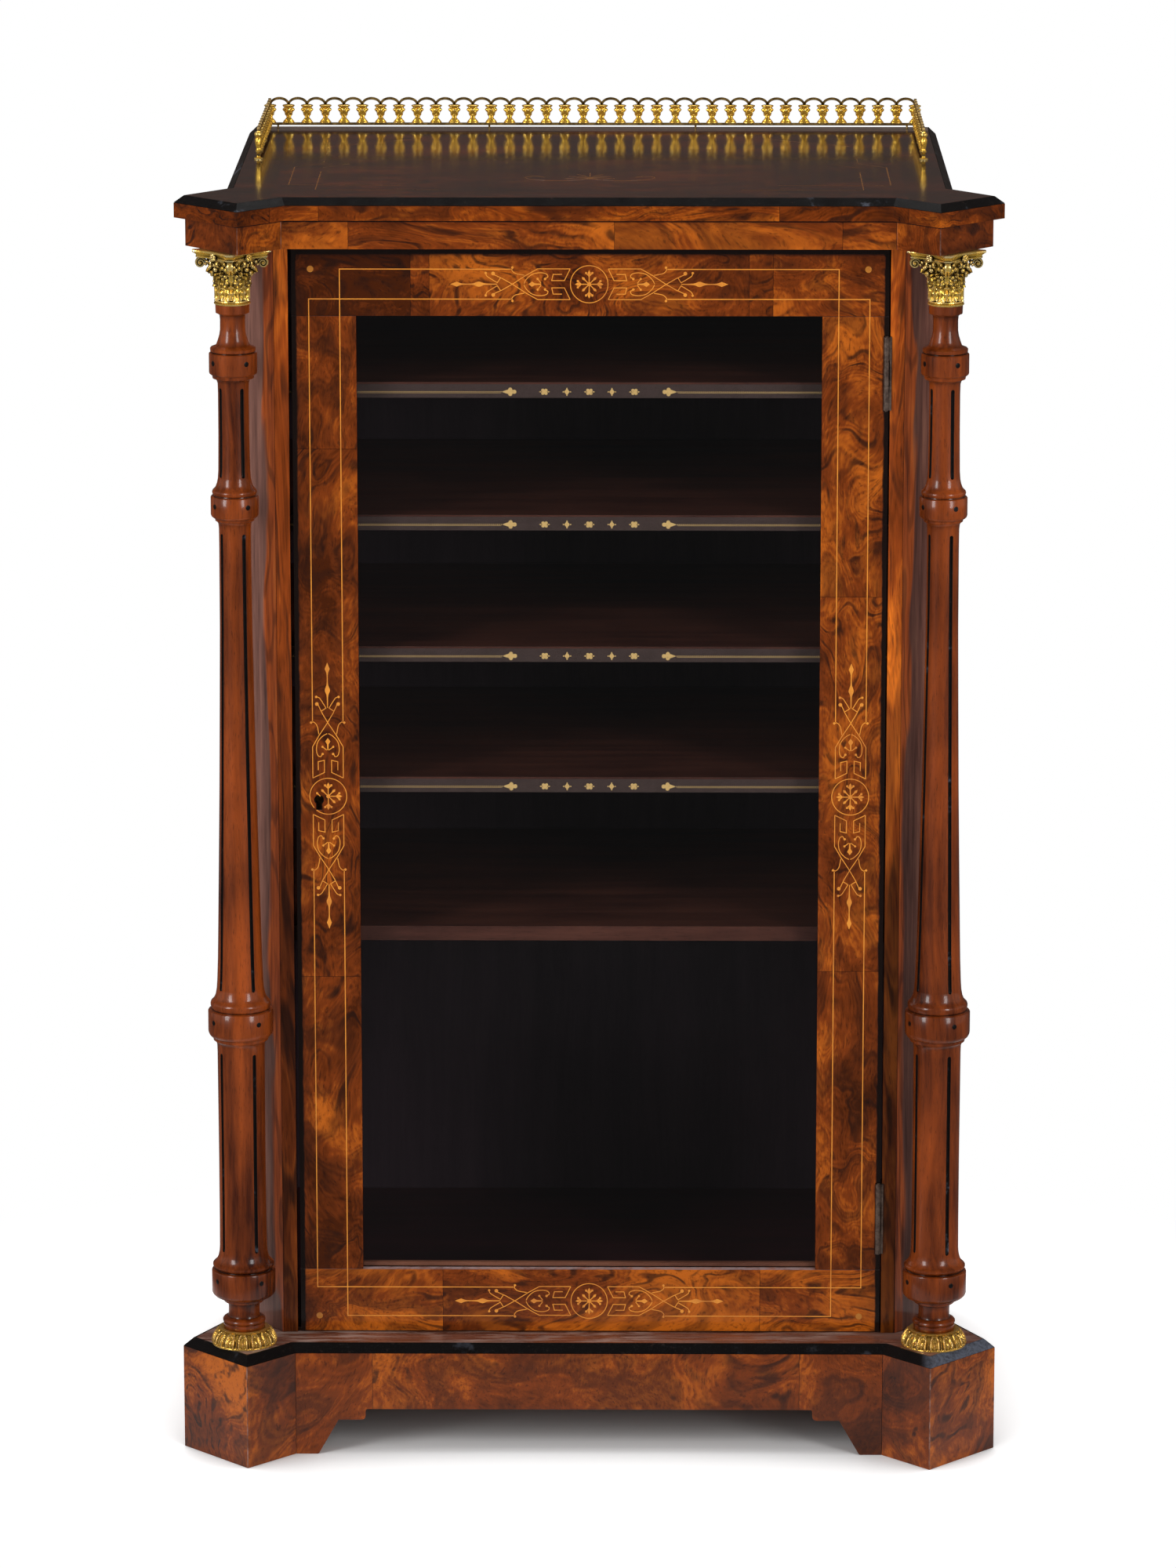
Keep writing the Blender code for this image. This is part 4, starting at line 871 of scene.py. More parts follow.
# Which solid pieces each finish covers
COVERINGS = {
    "burr_top_board": ["top_board"],
    "burr_frieze": ["frieze_front"],
    "burr_frieze_block": both_sides("frieze_block_"),
    "burr_plinth_block": both_sides("plinth_block_"),
    "burr_plinth": ["plinth_front"],
    "burr_rail_top": ["door_rail_top"],
    "burr_rail_bottom": ["door_rail_bottom"],
    "burr_stile_lock": ["door_stile_lock"],
    "burr_stile_hinge": ["door_stile_hinge"],
    "burr_front_stile_left": ["front_stile_left"],
    "burr_front_stile_right": ["front_stile_right"],
    "walnut_cant_left": ["canted_corner_left"],
    "walnut_cant_right": ["canted_corner_right"],
    "scuffed_ledge": ["plinth_top_board"],
    "walnut_side": both_sides("carcass_side_"),
    "walnut_along_depth": both_sides("plinth_side_", "frieze_side_"),
    "walnut_along_width": ["glazing_bead"],
    "inside_wood": ["carcass_bottom", "carcass_top"],
    "back_wood": ["carcass_back", "plinth_back"],
    "shelf_wood": ["shelf_" + number for number in SHELVES],
    "ebonised": ["top_ebony_moulding"],
    "bruised_ebony": ["plinth_ebony_moulding"],
    "hinge_metal": ["hinge_" + part + level for part in ("leaf_carcass_", "leaf_door_", "pin_")
                    for level in ("lower", "upper")],
    "lock_brass": ["lock_case", "lock_bolt", "lock_strike_plate"],
    "keyhole_lining": ["keyhole_escutcheon"],
    "dark_leather": ["leather_fall_" + number for number in SHELVES[:4]],
    "old_glass": ["door_glass"],
}


class CABINET_OT_finishes(CabinetOperator):
    """Make the woods, metals, leather and glass, and give them to the solid pieces"""
    bl_idname = "cabinet.finishes"
    bl_label = "Make finishes"

    def front_arris(self, node):
        """Where the foremost upright edge of a block stands."""
        item = NODES[node]
        spots = [item.matrix_world @ vertex.co for vertex in item.data.vertices]
        foremost = min(spots, key=lambda spot: spot.y)
        return foremost.x, foremost.y

    def execute(self, context):
        self.make_burr()
        self.make_plain()
        self.make_others()
        for finish, names in COVERINGS.items():
            for name in names:
                item = NODES[name]
                item.data.materials.clear()
                item.data.materials.append(FINISHES[finish])
        return {"FINISHED"}

    def make_burr(self):
        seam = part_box("frieze_front")[1].z
        edge = dict(edges=(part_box("door_stile_lock")[0].x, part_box("door_stile_hinge")[1].x,
                           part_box("door_rail_top")[1].z))
        arrises = [self.front_arris(node) for node in both_sides("plinth_block_", "frieze_block_")]
        arrises += [(sign * INNER_ARRIS[0], INNER_ARRIS[1]) for sign in SIDES.values()]
        frieze_stretch = (0.45, 1, 1.2)
        stile_stretch = (1, 1, 0.6)
        narrow = dict(seed=16.3, stretch=(1, 1, 0.16))
        for name, settings in {
            "burr_top_board": dict(
                cuts=("X", (-0.251, -0.213, 0.15, 0.251), (-0.20, -0.03, 0.01, -0.09, -0.15)), seed=3.1,
                gloss=0.08, coat=0.3, stretch=frieze_stretch, top_shade=(0.23, 0.15, 0.15)),
            "burr_frieze": dict(
                cuts=("X", (-0.19, 0.02, 0.2), (-0.04, 0.08, 0.06, 0.0)), seed=1.3, stretch=frieze_stretch,
                size=1.2, seam=seam),
            "burr_frieze_block": dict(
                cuts=("X", (-0.2756, 0, 0.2756), (-0.34, 0.0, -0.08, -0.04)), seed=5.2, size=1.6,
                arrises=arrises, seam=seam),
            "burr_plinth_block": dict(
                cuts=("X", (-0.2775, 0, 0.2775), (0.06, 0.0, -0.08, 0.12)), seed=5.2, size=1.6,
                arrises=arrises),
            "burr_plinth": dict(
                cuts=("X", (-0.177, 0.172), (0.10, 0.05, 0.06)), seed=6.4, stretch=(0.75, 1, 1), size=1.9),
            "burr_rail_top": dict(
                cuts=("X", (-0.142, -0.127, 0.127, 0.146), (-0.20, 0.0, -0.08, -0.14, 0.06)), seed=8.5,
                stretch=(0.7, 1, 1), **edge),
            "burr_rail_bottom": dict(
                cuts=("X", (-0.12, 0.14), (0.06, 0.16, 0.18)), seed=9.7, stretch=(0.5, 1, 1), **edge),
            "burr_stile_lock": dict(
                cuts=("Z", (0.395, 0.83), (-0.06, -0.17, -0.13)), seed=11.9, stretch=stile_stretch, **edge),
            "burr_stile_hinge": dict(
                cuts=("Z", (0.40, 0.71), (0.14, 0.02, 0.12)), seed=14.3, stretch=stile_stretch, **edge),
            # Painted shade at the foot and painted light at the head of the front stiles
            "burr_front_stile_left": dict(fall=(0.80, 1.95), **narrow),
            "burr_front_stile_right": dict(fall=(0.34, 1.85), **narrow),
        }.items():
            keep(burr_walnut, name, self.colours, **settings)

    def make_plain(self):
        colours = self.colours
        for name, settings in {
            "walnut_side": dict(grain="Z", seed=7.0, shade=0.8),
            "walnut_along_depth": dict(grain="Y", seed=5.0, shade=0.9),
            "walnut_along_width": dict(grain="X", seed=6.0, shade=0.75),
            # The woods inside the case are given dark colours: stained wood with painted shade of the
            # closed case
            "inside_wood": dict(grain="X", seed=8.0, light=dimmed(colours.inside, 0.9),
                                dark=dimmed(colours.inside, 0.35), gloss=0.38),
            "back_wood": dict(grain="Z", seed=9.0, light=srgb(70, 54, 61), dark=srgb(54, 40, 47), gloss=0.5,
                              pore_mix=0.2, boards=0.116),
            "shelf_wood": dict(grain="X", seed=10.0, light=srgb(108, 64, 49), dark=srgb(60, 30, 24),
                               gloss=0.32),
            "glazing_lip": dict(grain="X", seed=11.0, light=srgb(160, 104, 78), dark=srgb(104, 62, 46),
                                gloss=0.3),
            "column_wood": dict(grain="Z", seed=12.0, light=colours.column_light, dark=colours.column_dark,
                                gloss=0.22, pore_mix=0.5, coat=0.4, painted_crease_shade=True),
        }.items():
            keep(plain_walnut, name, colours, **settings)
        for side, sign in SIDES.items():
            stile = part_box("front_stile_" + side)
            keep(canted_walnut, "walnut_cant_" + side, colours, stile[0 if sign < 0 else 1].x, sign)
        keep(scuffed_ledge, "scuffed_ledge")

    def make_others(self):
        colours = self.colours
        low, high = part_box("plinth_block_right")
        keep(ebonised, "ebonised", colours)
        keep(ebonised, "bruised_ebony", colours, (high.x - 0.0275, low.y + 0.0287, high.z))
        keep(gilt_brass, "gilt_brass", colours)
        # The ring is tinted darker and pinkish: worn gilt with a painted reflection of the red-brown wood
        keep(gilt_brass, "gilt_ring", colours, 0.8, (0.76, 0.70, 0.80), 0.006)
        keep(gilt_brass, "gilt_gallery", colours, 0.4, (1.08, 1.0, 0.84), 0.005)
        keep(tooled_gilt, "tooled_gilt")
        keep(aged_metal, "dull_gilt", srgb(176, 144, 78), srgb(108, 86, 46), 0.7, 0.26)
        keep(aged_metal, "hinge_metal", colours.hinge, srgb(70, 54, 46), 0.35)
        keep(aged_metal, "lock_brass", srgb(150, 118, 66), srgb(78, 56, 30))
        # The keyhole is near black: painted shade inside the hole
        keep(aged_metal, "keyhole_lining", srgb(44, 32, 24), srgb(14, 11, 10))
        keep(dark_leather, "dark_leather", colours)
        keep(old_glass, "old_glass")
        for name, shade in (("boxwood", 1.0), ("toned_boxwood", 0.62), ("faded_boxwood", 0.36),
                            ("worn_boxwood", 0.20)):
            keep(boxwood, name, colours, shade)


SHAFT_FOOT = 106.5
# The column's outline in millimetres: height from the floor, then radius
SHAFT_OUTLINE = (
    (SHAFT_FOOT, 15.0), (SHAFT_FOOT, 16.5), (107.0, 16.8), (110.6, 16.8), (111.2, 16.2), (111.7, 16.9),
    (112.6, 17.4), (113.8, 17.3), (114.9, 16.5), (115.8, 15.0), (116.4, 13.3), (118.5, 12.6),
    (123.5, 12.6), (127.6, 12.9), (128.4, 13.6), (128.8, 15.9), (129.2, 16.4), (131.2, 16.6),
    (131.7, 18.4), (132.5, 20.6), (134.0, 23.4), (135.8, 25.2), (137.6, 25.9), (155.4, 25.9),
    (156.1, 25.6), (156.5, 24.6), (156.7, 23.4), (157.2, 22.9), (158.2, 23.4), (158.9, 24.4),
    (160.0, 25.0), (161.2, 24.9), (162.1, 24.2), (162.5, 23.3), (163.2, 22.7), (164.6, 21.7),
    (166.4, 20.7), (169.0, 20.0), (172.0, 19.5), (176.0, 19.2), (200.0, 19.0), (250.0, 18.9),
    (300.0, 19.0), (340.0, 19.1), (346.0, 19.3), (348.4, 20.0), (349.8, 21.2), (350.2, 22.2),
    (352.8, 22.5), (353.3, 24.0), (354.6, 25.2), (356.6, 26.1), (358.0, 26.3), (374.4, 26.3),
    (375.2, 25.8), (375.7, 24.2), (376.2, 23.4), (377.2, 23.6), (378.8, 24.2), (380.6, 24.3),
    (382.2, 23.8), (383.4, 22.6), (384.8, 21.3), (388.0, 20.0), (393.0, 19.1), (400.0, 18.6),
    (417.5, 17.9), (443.0, 17.3), (495.0, 16.2), (560.0, 14.9), (625.0, 13.9), (690.0, 13.0),
    (755.0, 12.7), (771.0, 12.8), (775.0, 13.2), (776.8, 14.2), (777.6, 15.6), (779.6, 15.9),
    (780.0, 17.2), (781.2, 18.6), (782.6, 19.1), (796.6, 19.1), (797.4, 18.6), (797.8, 17.0),
    (798.4, 16.9), (799.4, 17.6), (800.9, 17.9), (802.3, 17.4), (803.4, 16.2), (804.8, 15.1),
    (807.6, 14.0), (811.4, 13.2), (818.0, 12.7), (846.5, 12.3), (880.0, 12.2), (888.0, 12.4),
    (890.6, 13.2), (891.8, 14.6), (892.3, 16.3), (894.6, 16.7), (895.1, 17.6), (896.1, 18.8),
    (897.2, 19.1), (912.0, 19.1), (912.7, 18.5), (913.1, 16.9), (913.6, 17.0), (914.0, 17.9),
    (916.3, 18.1), (917.2, 17.3), (918.4, 14.0), (919.6, 13.0), (923.0, 11.8), (927.0, 10.6),
    (931.0, 10.0), (939.0, 9.9), (942.8, 10.3), (944.0, 11.8), (944.6, 13.3), (949.2, 13.5),
    (951.3, 13.5))
# Foot and head of each stretch of flutes
FLUTES = ((173.0, 340.4), (392.5, 767.7), (813.0, 885.0))
FLUTE_TURN = {"left": math.radians(-8), "right": math.radians(-16)}
# Steps across a flute, in half widths, and how many steps there are between two flutes
FLUTE_SECTION = (-1.0, -0.72, -0.36, 0.0, 0.36, 0.72, 1.0)
PLAIN_STEPS = 13
# Height of each row of pins, and the column's radius there
PIN_HEIGHTS = ((149.0, 25.9), (367.0, 26.3), (790.2, 19.1), (905.4, 19.1))
# A pin's dome: radius and height, both in pin radii
PIN_DOME = ((1.0, -0.6), (1.0, 0.01), (0.9, 0.06), (0.5, 0.09), (0.12, 0.10))


def along_stops(stops, at):
    """The value at a place between stops of (place, value)."""
    for (z0, r0), (z1, r1) in zip(stops, stops[1:]):
        if z0 <= at <= z1 and z1 > z0:
            return r0 + (r1 - r0) * (at - z0) / (z1 - z0)
    return stops[-1][1]


class CABINET_OT_columns(CabinetOperator):
    """Turn the two columns with their black flutes and pins"""
    bl_idname = "cabinet.columns"
    bl_label = "Turn columns"

    def flute_share(self, height):
        """How open the flutes are at a height, from 0 outside them to 1 along them."""
        ease = self.sizes.flute_width / MM / 2
        for low, high in FLUTES:
            if low <= height <= high:
                inward = min(height - low, high - height, ease)
                return math.sqrt(max(0.0, 1 - (1 - inward / ease) ** 2))
        return 0.0

    def heights(self):
        """The outline's points, with more of them where the flutes begin and end."""
        ease = self.sizes.flute_width / MM / 2
        extra = []
        for low, high in FLUTES:
            for step in (0.0, 0.12, 0.4, 0.7, 1.0):
                extra += [low + step * ease, high - step * ease]
        rows = [(z, r) for z, r in SHAFT_OUTLINE] + [(z, along_stops(SHAFT_OUTLINE, z)) for z in extra]
        return sorted(rows, key=lambda row: (row[0], row[1] if row[0] == SHAFT_FOOT else 0))

    @staticmethod
    def flute_angles(side):
        """Where the four flutes, and the pins in line with them, stand round a column."""
        return [FLUTE_TURN[side] + math.pi / 4 + k * math.pi / 2 for k in range(4)]

    def make(self, side):
        low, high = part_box("column_shaft_" + side)
        x, y = (low.x + high.x) / 2, (low.y + high.y) / 2
        self.shaft(side, x, y)
        self.pins(side, x, y)

    def shaft(self, side, x, y):
        width, depth = self.sizes.flute_width / MM, self.sizes.flute_depth / MM
        shape = Shape()
        rows, open_rows = [], []
        for height, radius in self.heights():
            share = self.flute_share(height)
            half = width / 2 / radius * max(share, 0.2)
            span = math.pi / 2 - 2 * half
            row = []
            for middle in self.flute_angles(side):
                for step in FLUTE_SECTION:
                    dip = depth * share * math.sqrt(1 - step * step)
                    row.append((middle + step * half, radius - dip))
                for i in range(1, PLAIN_STEPS + 1):
                    row.append((middle + half + span * i / (PLAIN_STEPS + 1), radius))
            rows.append([(x + r * MM * math.cos(a), y + r * MM * math.sin(a), height * MM) for a, r in row])
            open_rows.append(share > 0.02)
        shape.grid(rows)
        count = len(rows[0])
        for i in range(len(rows) - 1):
            if open_rows[i] or open_rows[i + 1]:
                for j in range(count):
                    if j % (len(FLUTE_SECTION) + PLAIN_STEPS) < len(FLUTE_SECTION) - 1:
                        shape.slots[i * count + j] = 1
        item = shape.made("turned_shaft_" + side, ["column_wood", "ebonised"], "carcass", sharp=32)
        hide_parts("column_shaft_" + side)

    def pins(self, side, x, y):
        pins = Shape()
        pin = self.sizes.pin_diameter / 2
        for height, radius in PIN_HEIGHTS:
            for angle in self.flute_angles(side):
                turn = Matrix.Rotation(angle, 4, "Z") @ Matrix.Rotation(math.pi / 2, 4, "Y")
                outwards = Vector((math.cos(angle), math.sin(angle), 0))
                spot = Vector((x, y, height * MM)) + outwards * radius * MM
                rows = [[spot + turn @ Vector((pin * r * math.cos(t * math.pi / 7),
                                               pin * r * math.sin(t * math.pi / 7), pin * h))
                         for t in range(14)] for r, h in PIN_DOME]
                pins.grid(rows)
        item = pins.made("column_pins_" + side, ["ebonised"], "carcass")

    def execute(self, context):
        for side in SIDES:
            self.make(side)
        return {"FINISHED"}


def turned_about(points, centre, angle):
    """Points built facing +X, turned about a vertical axis through centre."""
    turn = Matrix.Rotation(angle, 3, "Z")
    return [Vector(centre) + turn @ Vector(p) for p in points]


# The core of a capital in millimetres: height above its foot, then radius
BELL = ((0, 12.6), (6, 11.9), (14, 11.9), (22, 12.6), (28, 13.8), (33, 15.4), (38, 17.6))
# The collar at its foot: radius, then height
COLLAR = ((13.2, 0), (13.9, 0.1), (14.5, 0.7), (14.6, 1.3), (14.2, 1.9), (13.7, 2.1), (13.9, 2.4),
          (14.3, 2.9), (14.2, 3.5), (13.4, 3.9), (12.4, 4.2))
ABACUS_HEIGHT = 6.2


def acanthus_leaf(shape, centre, angle, foot, height, width, curl, thick, lobes=4, blunt=0.55):
    """A leaf that hugs the bell, with lobed sides, a raised midrib and a tip that curls over."""
    rows = []
    steps, across = 20, 14
    for i in range(steps + 1):
        v = i / steps
        z = foot + height * math.sin(v * 1.36 * math.pi / 2)
        past = max(0.0, (v - 0.45) / 0.55)
        out = 0.7 + 0.9 * v + curl * past ** 1.5
        lobe = 0.72 + 0.28 * abs(math.cos(lobes * math.pi * v)) ** 0.7
        swell = 0.72 + 0.42 * math.sin(math.pi * min(v * 1.1, 1) * 0.75)
        half = width * lobe * swell * (1 - v ** 6 * blunt)
        row = []
        for j in range(across + 1):
            u = 2 * j / across - 1
            radius = along_stops(BELL, z) + out
            radius += 1.0 * math.exp(-(u * 5.0) ** 2) + 0.5 * abs(math.cos(u * math.pi * 1.5)) ** 2
            radius -= 1.1 * u * u * (0.3 + v)
            radius += 0.75 * math.sin(lobes * 2 * math.pi * v + 2.4 * abs(u)) * min(1.0, abs(u) * 1.6)
            row.append((radius, half * u, z))
        rows.append(row)
    loops = []
    for row in rows:
        outer = [(out * MM, along * MM, up * MM) for out, along, up in row]
        inner = [((out - thick) * MM, along * MM * 0.92, up * MM) for out, along, up in row]
        loops.append(turned_about(outer + inner[::-1], centre, angle))
    shape.grid(loops)


# Half of the button in a scroll's eye: shares of the scroll's radius and of its width
BUTTON = ((0.08, 0.60), (0.22, 0.58), (0.30, 0.50), (0.32, 0.20), (0.86, 0.18))


def scroll(shape, centre, angle, eye, radius, width, turns, stem, thick):
    """A ribbon that runs up a stem and curls into a spiral, with a button at its eye.

    Eye is (outwards, sideways, up) in millimetres."""
    line = []
    steps = 30
    for i in range(steps + 1):
        t = i / steps
        spin = math.pi / 2 - 2 * math.pi * turns * t
        reach = radius * (1 - 0.76 * t)
        line.append((reach * math.cos(spin), reach * math.sin(spin)))
    line = smooth_line([*stem, line[0]], 5)[:-1] + line
    rows = []
    count = len(line)
    for i, (out, up) in enumerate(line):
        before, after = line[max(i - 1, 0)], line[min(i + 1, count - 1)]
        way = Vector((after[0] - before[0], after[1] - before[1])).normalized()
        side = Vector((-way.y, way.x))
        half = thick / 2 * (1 - 0.22 * i / count)
        broad = width / 2 * (0.8 + 0.2 * i / count)
        row = []
        for k in range(10):
            spin = 2 * math.pi * k / 10
            off = side * half * math.copysign(abs(math.cos(spin)) ** 0.7, math.cos(spin))
            row.append(Vector((eye[0] + out + off.x, eye[1] + broad * math.sin(spin),
                               eye[2] + up + off.y)) * MM)
        rows.append(turned_about(row, centre, angle))
    shape.grid(rows)
    rows = []
    for share, across in BUTTON + tuple((share, -across) for share, across in reversed(BUTTON)):
        rows.append(turned_about([
            Vector((eye[0] + radius * share * math.cos(k * math.pi / 8), eye[1] + width * across,
                    eye[2] + radius * share * math.sin(k * math.pi / 8))) * MM for k in range(16)],
            centre, angle))
    shape.grid(rows)


def knob(shape, centre, angle, spot, radius, squash=0.8):
    """A small rounded leaf curl; spot is (outwards, sideways, up) in millimetres."""
    rows = []
    for i in range(7):
        polar = math.pi * (i + 0.35) / 7.7
        ring = radius * math.sin(polar)
        rows.append(turned_about([
            Vector((spot[0] + radius * squash * math.cos(polar), spot[1] + ring * math.cos(k * math.pi / 5),
                    spot[2] + ring * math.sin(k * math.pi / 5))) * MM for k in range(10)], centre, angle))
    shape.grid(rows)


def horned_outline(centre, tip, waist):
    """A square with hollow sides, its corners cut off square across the axes."""
    blunt = 2.6 * MM
    steps = 12
    start, end = Vector((tip, blunt)), Vector((blunt, tip))
    depth = math.sqrt(0.5) * (tip + blunt) - waist
    points = []
    for k in range(4):
        turn = Matrix.Rotation(k * math.pi / 2, 2)
        for i in range(steps + 1):
            share = i / steps
            sag = depth * 4 * share * (1 - share)
            spot = turn @ (start.lerp(end, share) - Vector((1, 1)).normalized() * sag)
            points.append((centre[0] + spot.x, centre[1] + spot.y))
    return points


class CABINET_OT_capitals(CabinetOperator):
    """Cast the gilt leaf capitals"""
    bl_idname = "cabinet.capitals"
    bl_label = "Cast capitals"

    # Leaf curls under a horn: outwards, sideways, up from the bell's rim, radius
    CORNER_CURLS = (
        (17.8, 1.6, -11.0, 1.8), (17.4, 3.6, -7.6, 1.9), (15.6, 4.2, -13.0, 1.7), (20.4, 2.6, -5.0, 1.4),
        (19.0, 4.4, -2.8, 1.6), (14.0, 3.2, -18.6, 1.4))
    # The moulded top: share of its height, reach of its horns, half width at its hollow sides
    ABACUS = (
        (0.0, 26.6, 17.4), (0.06, 28.2, 18.0), (0.22, 28.5, 18.2), (0.26, 27.6, 17.5), (0.34, 27.8, 17.6),
        (0.52, 28.6, 18.3), (0.70, 30.3, 19.6), (0.74, 31.2, 20.4), (0.95, 31.3, 20.5), (1.0, 31.0, 20.2))

    def make(self, side):
        low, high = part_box("column_capital_" + side)
        centre = ((low.x + high.x) / 2, (low.y + high.y) / 2, low.z)
        total = (high.z - low.z) / MM
        top = total - ABACUS_HEIGHT
        shape = Shape()
        core = [*COLLAR, *[(along_stops(BELL, z), z) for z in (6, 10, 14, 18, 22, 26, 30, 33)],
                (19.4, top), (18.6, top + 0.8)]
        shape.lathe([(r * MM, z * MM) for r, z in core], centre, 48)
        for k in range(8):
            acanthus_leaf(shape, centre, (k + 0.5) * math.pi / 4, foot=3.4, height=13.6, width=4.9,
                          curl=1.5, thick=1.4, blunt=0.35)
        for k in range(8):
            height, curl = ((25.0, 4.4), (19.5, 3.0))[k % 2]    # the taller ones stand under the horns
            acanthus_leaf(shape, centre, k * math.pi / 4, foot=4.6, height=height, width=5.2, curl=curl,
                          thick=1.8, blunt=0.35)
        for k in range(4):
            self.corner(shape, centre, k * math.pi / 2, top)
            self.face(shape, centre, (k + 0.5) * math.pi / 2, top)
        self.abacus(shape, centre, top, total)
        item = shape.made("cast_capital_" + side, ["gilt_brass"], "carcass", sharp=40)
        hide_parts("column_capital_" + side)

    def corner(self, shape, centre, angle, top):
        """Big scroll under a horn, with its stem and the leaf curls that hold it up."""
        scroll(shape, centre, angle, eye=(24.7, 0, top - 4.1), radius=3.9, width=5.0, turns=1.6,
               stem=[(-11.4, -13.5), (-9.6, -7.0), (-6.2, -0.8), (-2.8, 2.7)], thick=2.1)
        for out, along, up, size in self.CORNER_CURLS:
            for mirror in (-1, 1):
                knob(shape, centre, angle, (out, mirror * along, top + up), size)

    def face(self, shape, centre, angle, top):
        """Two inner scrolls, a stalk and a flower that laps the top's hollow side."""
        acanthus_leaf(shape, centre, angle, 13.5, 13.0, 4.4, 3.2, thick=1.6, lobes=3)
        for mirror in (-1, 1):
            scroll(shape, centre, angle + mirror * 0.19, eye=(17.6, 0, top - 3.6), radius=2.6, width=2.6,
                   turns=1.3, stem=[(-3.6, -10.0), (-2.8, -4.6), (-1.6, 0.8)], thick=1.5)
            acanthus_leaf(shape, centre, angle + mirror * 0.36, 15.0, 12.6, 3.0, 3.6, thick=1.6, lobes=3)
            knob(shape, centre, angle + mirror * 0.32, (16.8, 0, top - 11.4), 2.0)
            knob(shape, centre, angle + mirror * 0.42, (17.6, 0, top - 6.4), 1.8)
        knob(shape, centre, angle, (17.4, 0, top - 8.0), 2.0)
        knob(shape, centre, angle, (18.4, 0, top - 4.4), 1.6)
        out, up = 20.0, top + 1.9
        for k in range(6):
            spin = 2 * math.pi * k / 6 + 0.3
            knob(shape, centre, angle, (out, 1.9 * math.cos(spin), up + 1.9 * math.sin(spin)), 1.55, 0.7)
        knob(shape, centre, angle, (out + 0.8, 0, up), 1.3)

    def abacus(self, shape, centre, top, total):
        """The moulded top with four horns."""
        rows = []
        for share, tip, waist in self.ABACUS:
            height = centre[2] + (top + (total - top) * share) * MM
            rows.append([(x, y, height) for x, y in horned_outline(centre, tip * MM, waist * MM)])
        shape.grid(rows)

    def execute(self, context):
        for side in SIDES:
            self.make(side)
        return {"FINISHED"}


class CABINET_OT_foot_rings(CabinetOperator):
    """Cast the gilt leaf rings at the columns' feet"""
    bl_idname = "cabinet.foot_rings"
    bl_label = "Cast foot rings"

    LEAVES = 14
    STEPS = 26           # steps across one leaf
    ROWS = 18            # rows down the leaves
    # The plain rim above the leaves: share of the ring's height, share of its radius
    RIM = ((1.00, 0.635), (1.02, 0.66), (1.02, 0.765), (0.99, 0.79), (0.95, 0.785))

    @staticmethod
    def relief(u, v):
        """Height of the leaves, in millimetres: u across one leaf, v down it."""
        fade = min(1.0, v / 0.06, (1 - v) / 0.05 + 0.2)
        arch = math.hypot(u, max(0.0, 0.40 - v) * 0.72)
        ridge = 1.6 * math.exp(-((arch - 0.29) / 0.075) ** 2)
        hollow = -1.6 if arch < 0.23 else (-1.8 if arch > 0.36 else -0.9)
        bead = 1.9 * math.exp(-(u / 0.075) ** 2 - ((v - 0.66) / 0.26) ** 2)
        dart = 1.5 * math.exp(-((abs(u) - 0.5) / 0.05) ** 2) * min(1.0, max(0.0, (v - 0.34) / 0.2))
        return fade * (ridge + hollow + bead + dart)

    def make(self, side):
        low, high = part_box("column_foot_ring_" + side)
        centre = ((low.x + high.x) / 2, (low.y + high.y) / 2, low.z)
        rim = (high.x - low.x) / 2
        height = high.z - low.z
        leafy = [(0.95 - 0.85 * v, 0.795 + 0.205 * math.sin(v * math.pi / 2) ** 0.9)
                 for v in [i / self.ROWS for i in range(self.ROWS + 1)]]
        steps = self.LEAVES * self.STEPS
        rows = []
        for number, (up, out) in enumerate([*self.RIM, *leafy, (0.06, 1.0), (0.0, 1.0)]):
            v = (number - len(self.RIM)) / self.ROWS
            row = []
            for i in range(steps):
                angle = 2 * math.pi * i / steps
                relief = self.relief((i % self.STEPS) / self.STEPS - 0.5, v) * MM if 0 <= v <= 1 else 0
                radius = rim * out - 0.0006 + relief * 0.8
                row.append((centre[0] + radius * math.cos(angle), centre[1] + radius * math.sin(angle),
                            centre[2] + height * up + relief * 0.45 * (1 - v)))
            rows.append(row)
        shape = Shape()
        shape.grid(rows[::-1])
        item = shape.made("leaf_ring_" + side, ["gilt_ring"], "carcass", sharp=50)
        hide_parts("column_foot_ring_" + side)

    def execute(self, context):
        for side in SIDES:
            self.make(side)
        return {"FINISHED"}


# One gallery baluster in millimetres above the base rail: height, half width
BALUSTER = (
    (0.0, 4.7), (0.5, 4.9), (1.0, 4.7), (1.5, 4.1), (2.4, 3.7), (3.4, 2.9), (4.3, 2.0), (4.9, 1.8),
    (5.3, 2.3), (5.8, 2.2), (6.3, 2.7), (6.9, 3.2), (7.6, 3.6), (8.3, 4.0), (9.0, 4.2), (9.8, 4.4),
    (10.6, 4.6), (11.4, 4.8), (12.1, 4.7), (12.7, 4.2), (13.2, 3.9), (13.6, 4.6), (14.2, 5.1),
    (14.9, 5.1), (15.2, 4.4), (15.5, 3.0))
POST = (
    (0.0, 3.6), (0.6, 3.7), (1.2, 3.3), (1.5, 2.0), (2.2, 1.6), (4.0, 1.3), (5.4, 1.6), (6.2, 2.4),
    (7.0, 2.5), (7.8, 1.8), (9.4, 1.7), (12.0, 2.3), (14.5, 2.7), (16.5, 2.8), (17.6, 2.2), (18.4, 1.9),
    (19.2, 2.9), (20.4, 3.2), (21.6, 3.0), (22.6, 2.0), (23.2, 0.8))
RAIL_FOOT, RAIL_HEIGHT, RAIL_HALF = 3.0, 1.9, 1.9
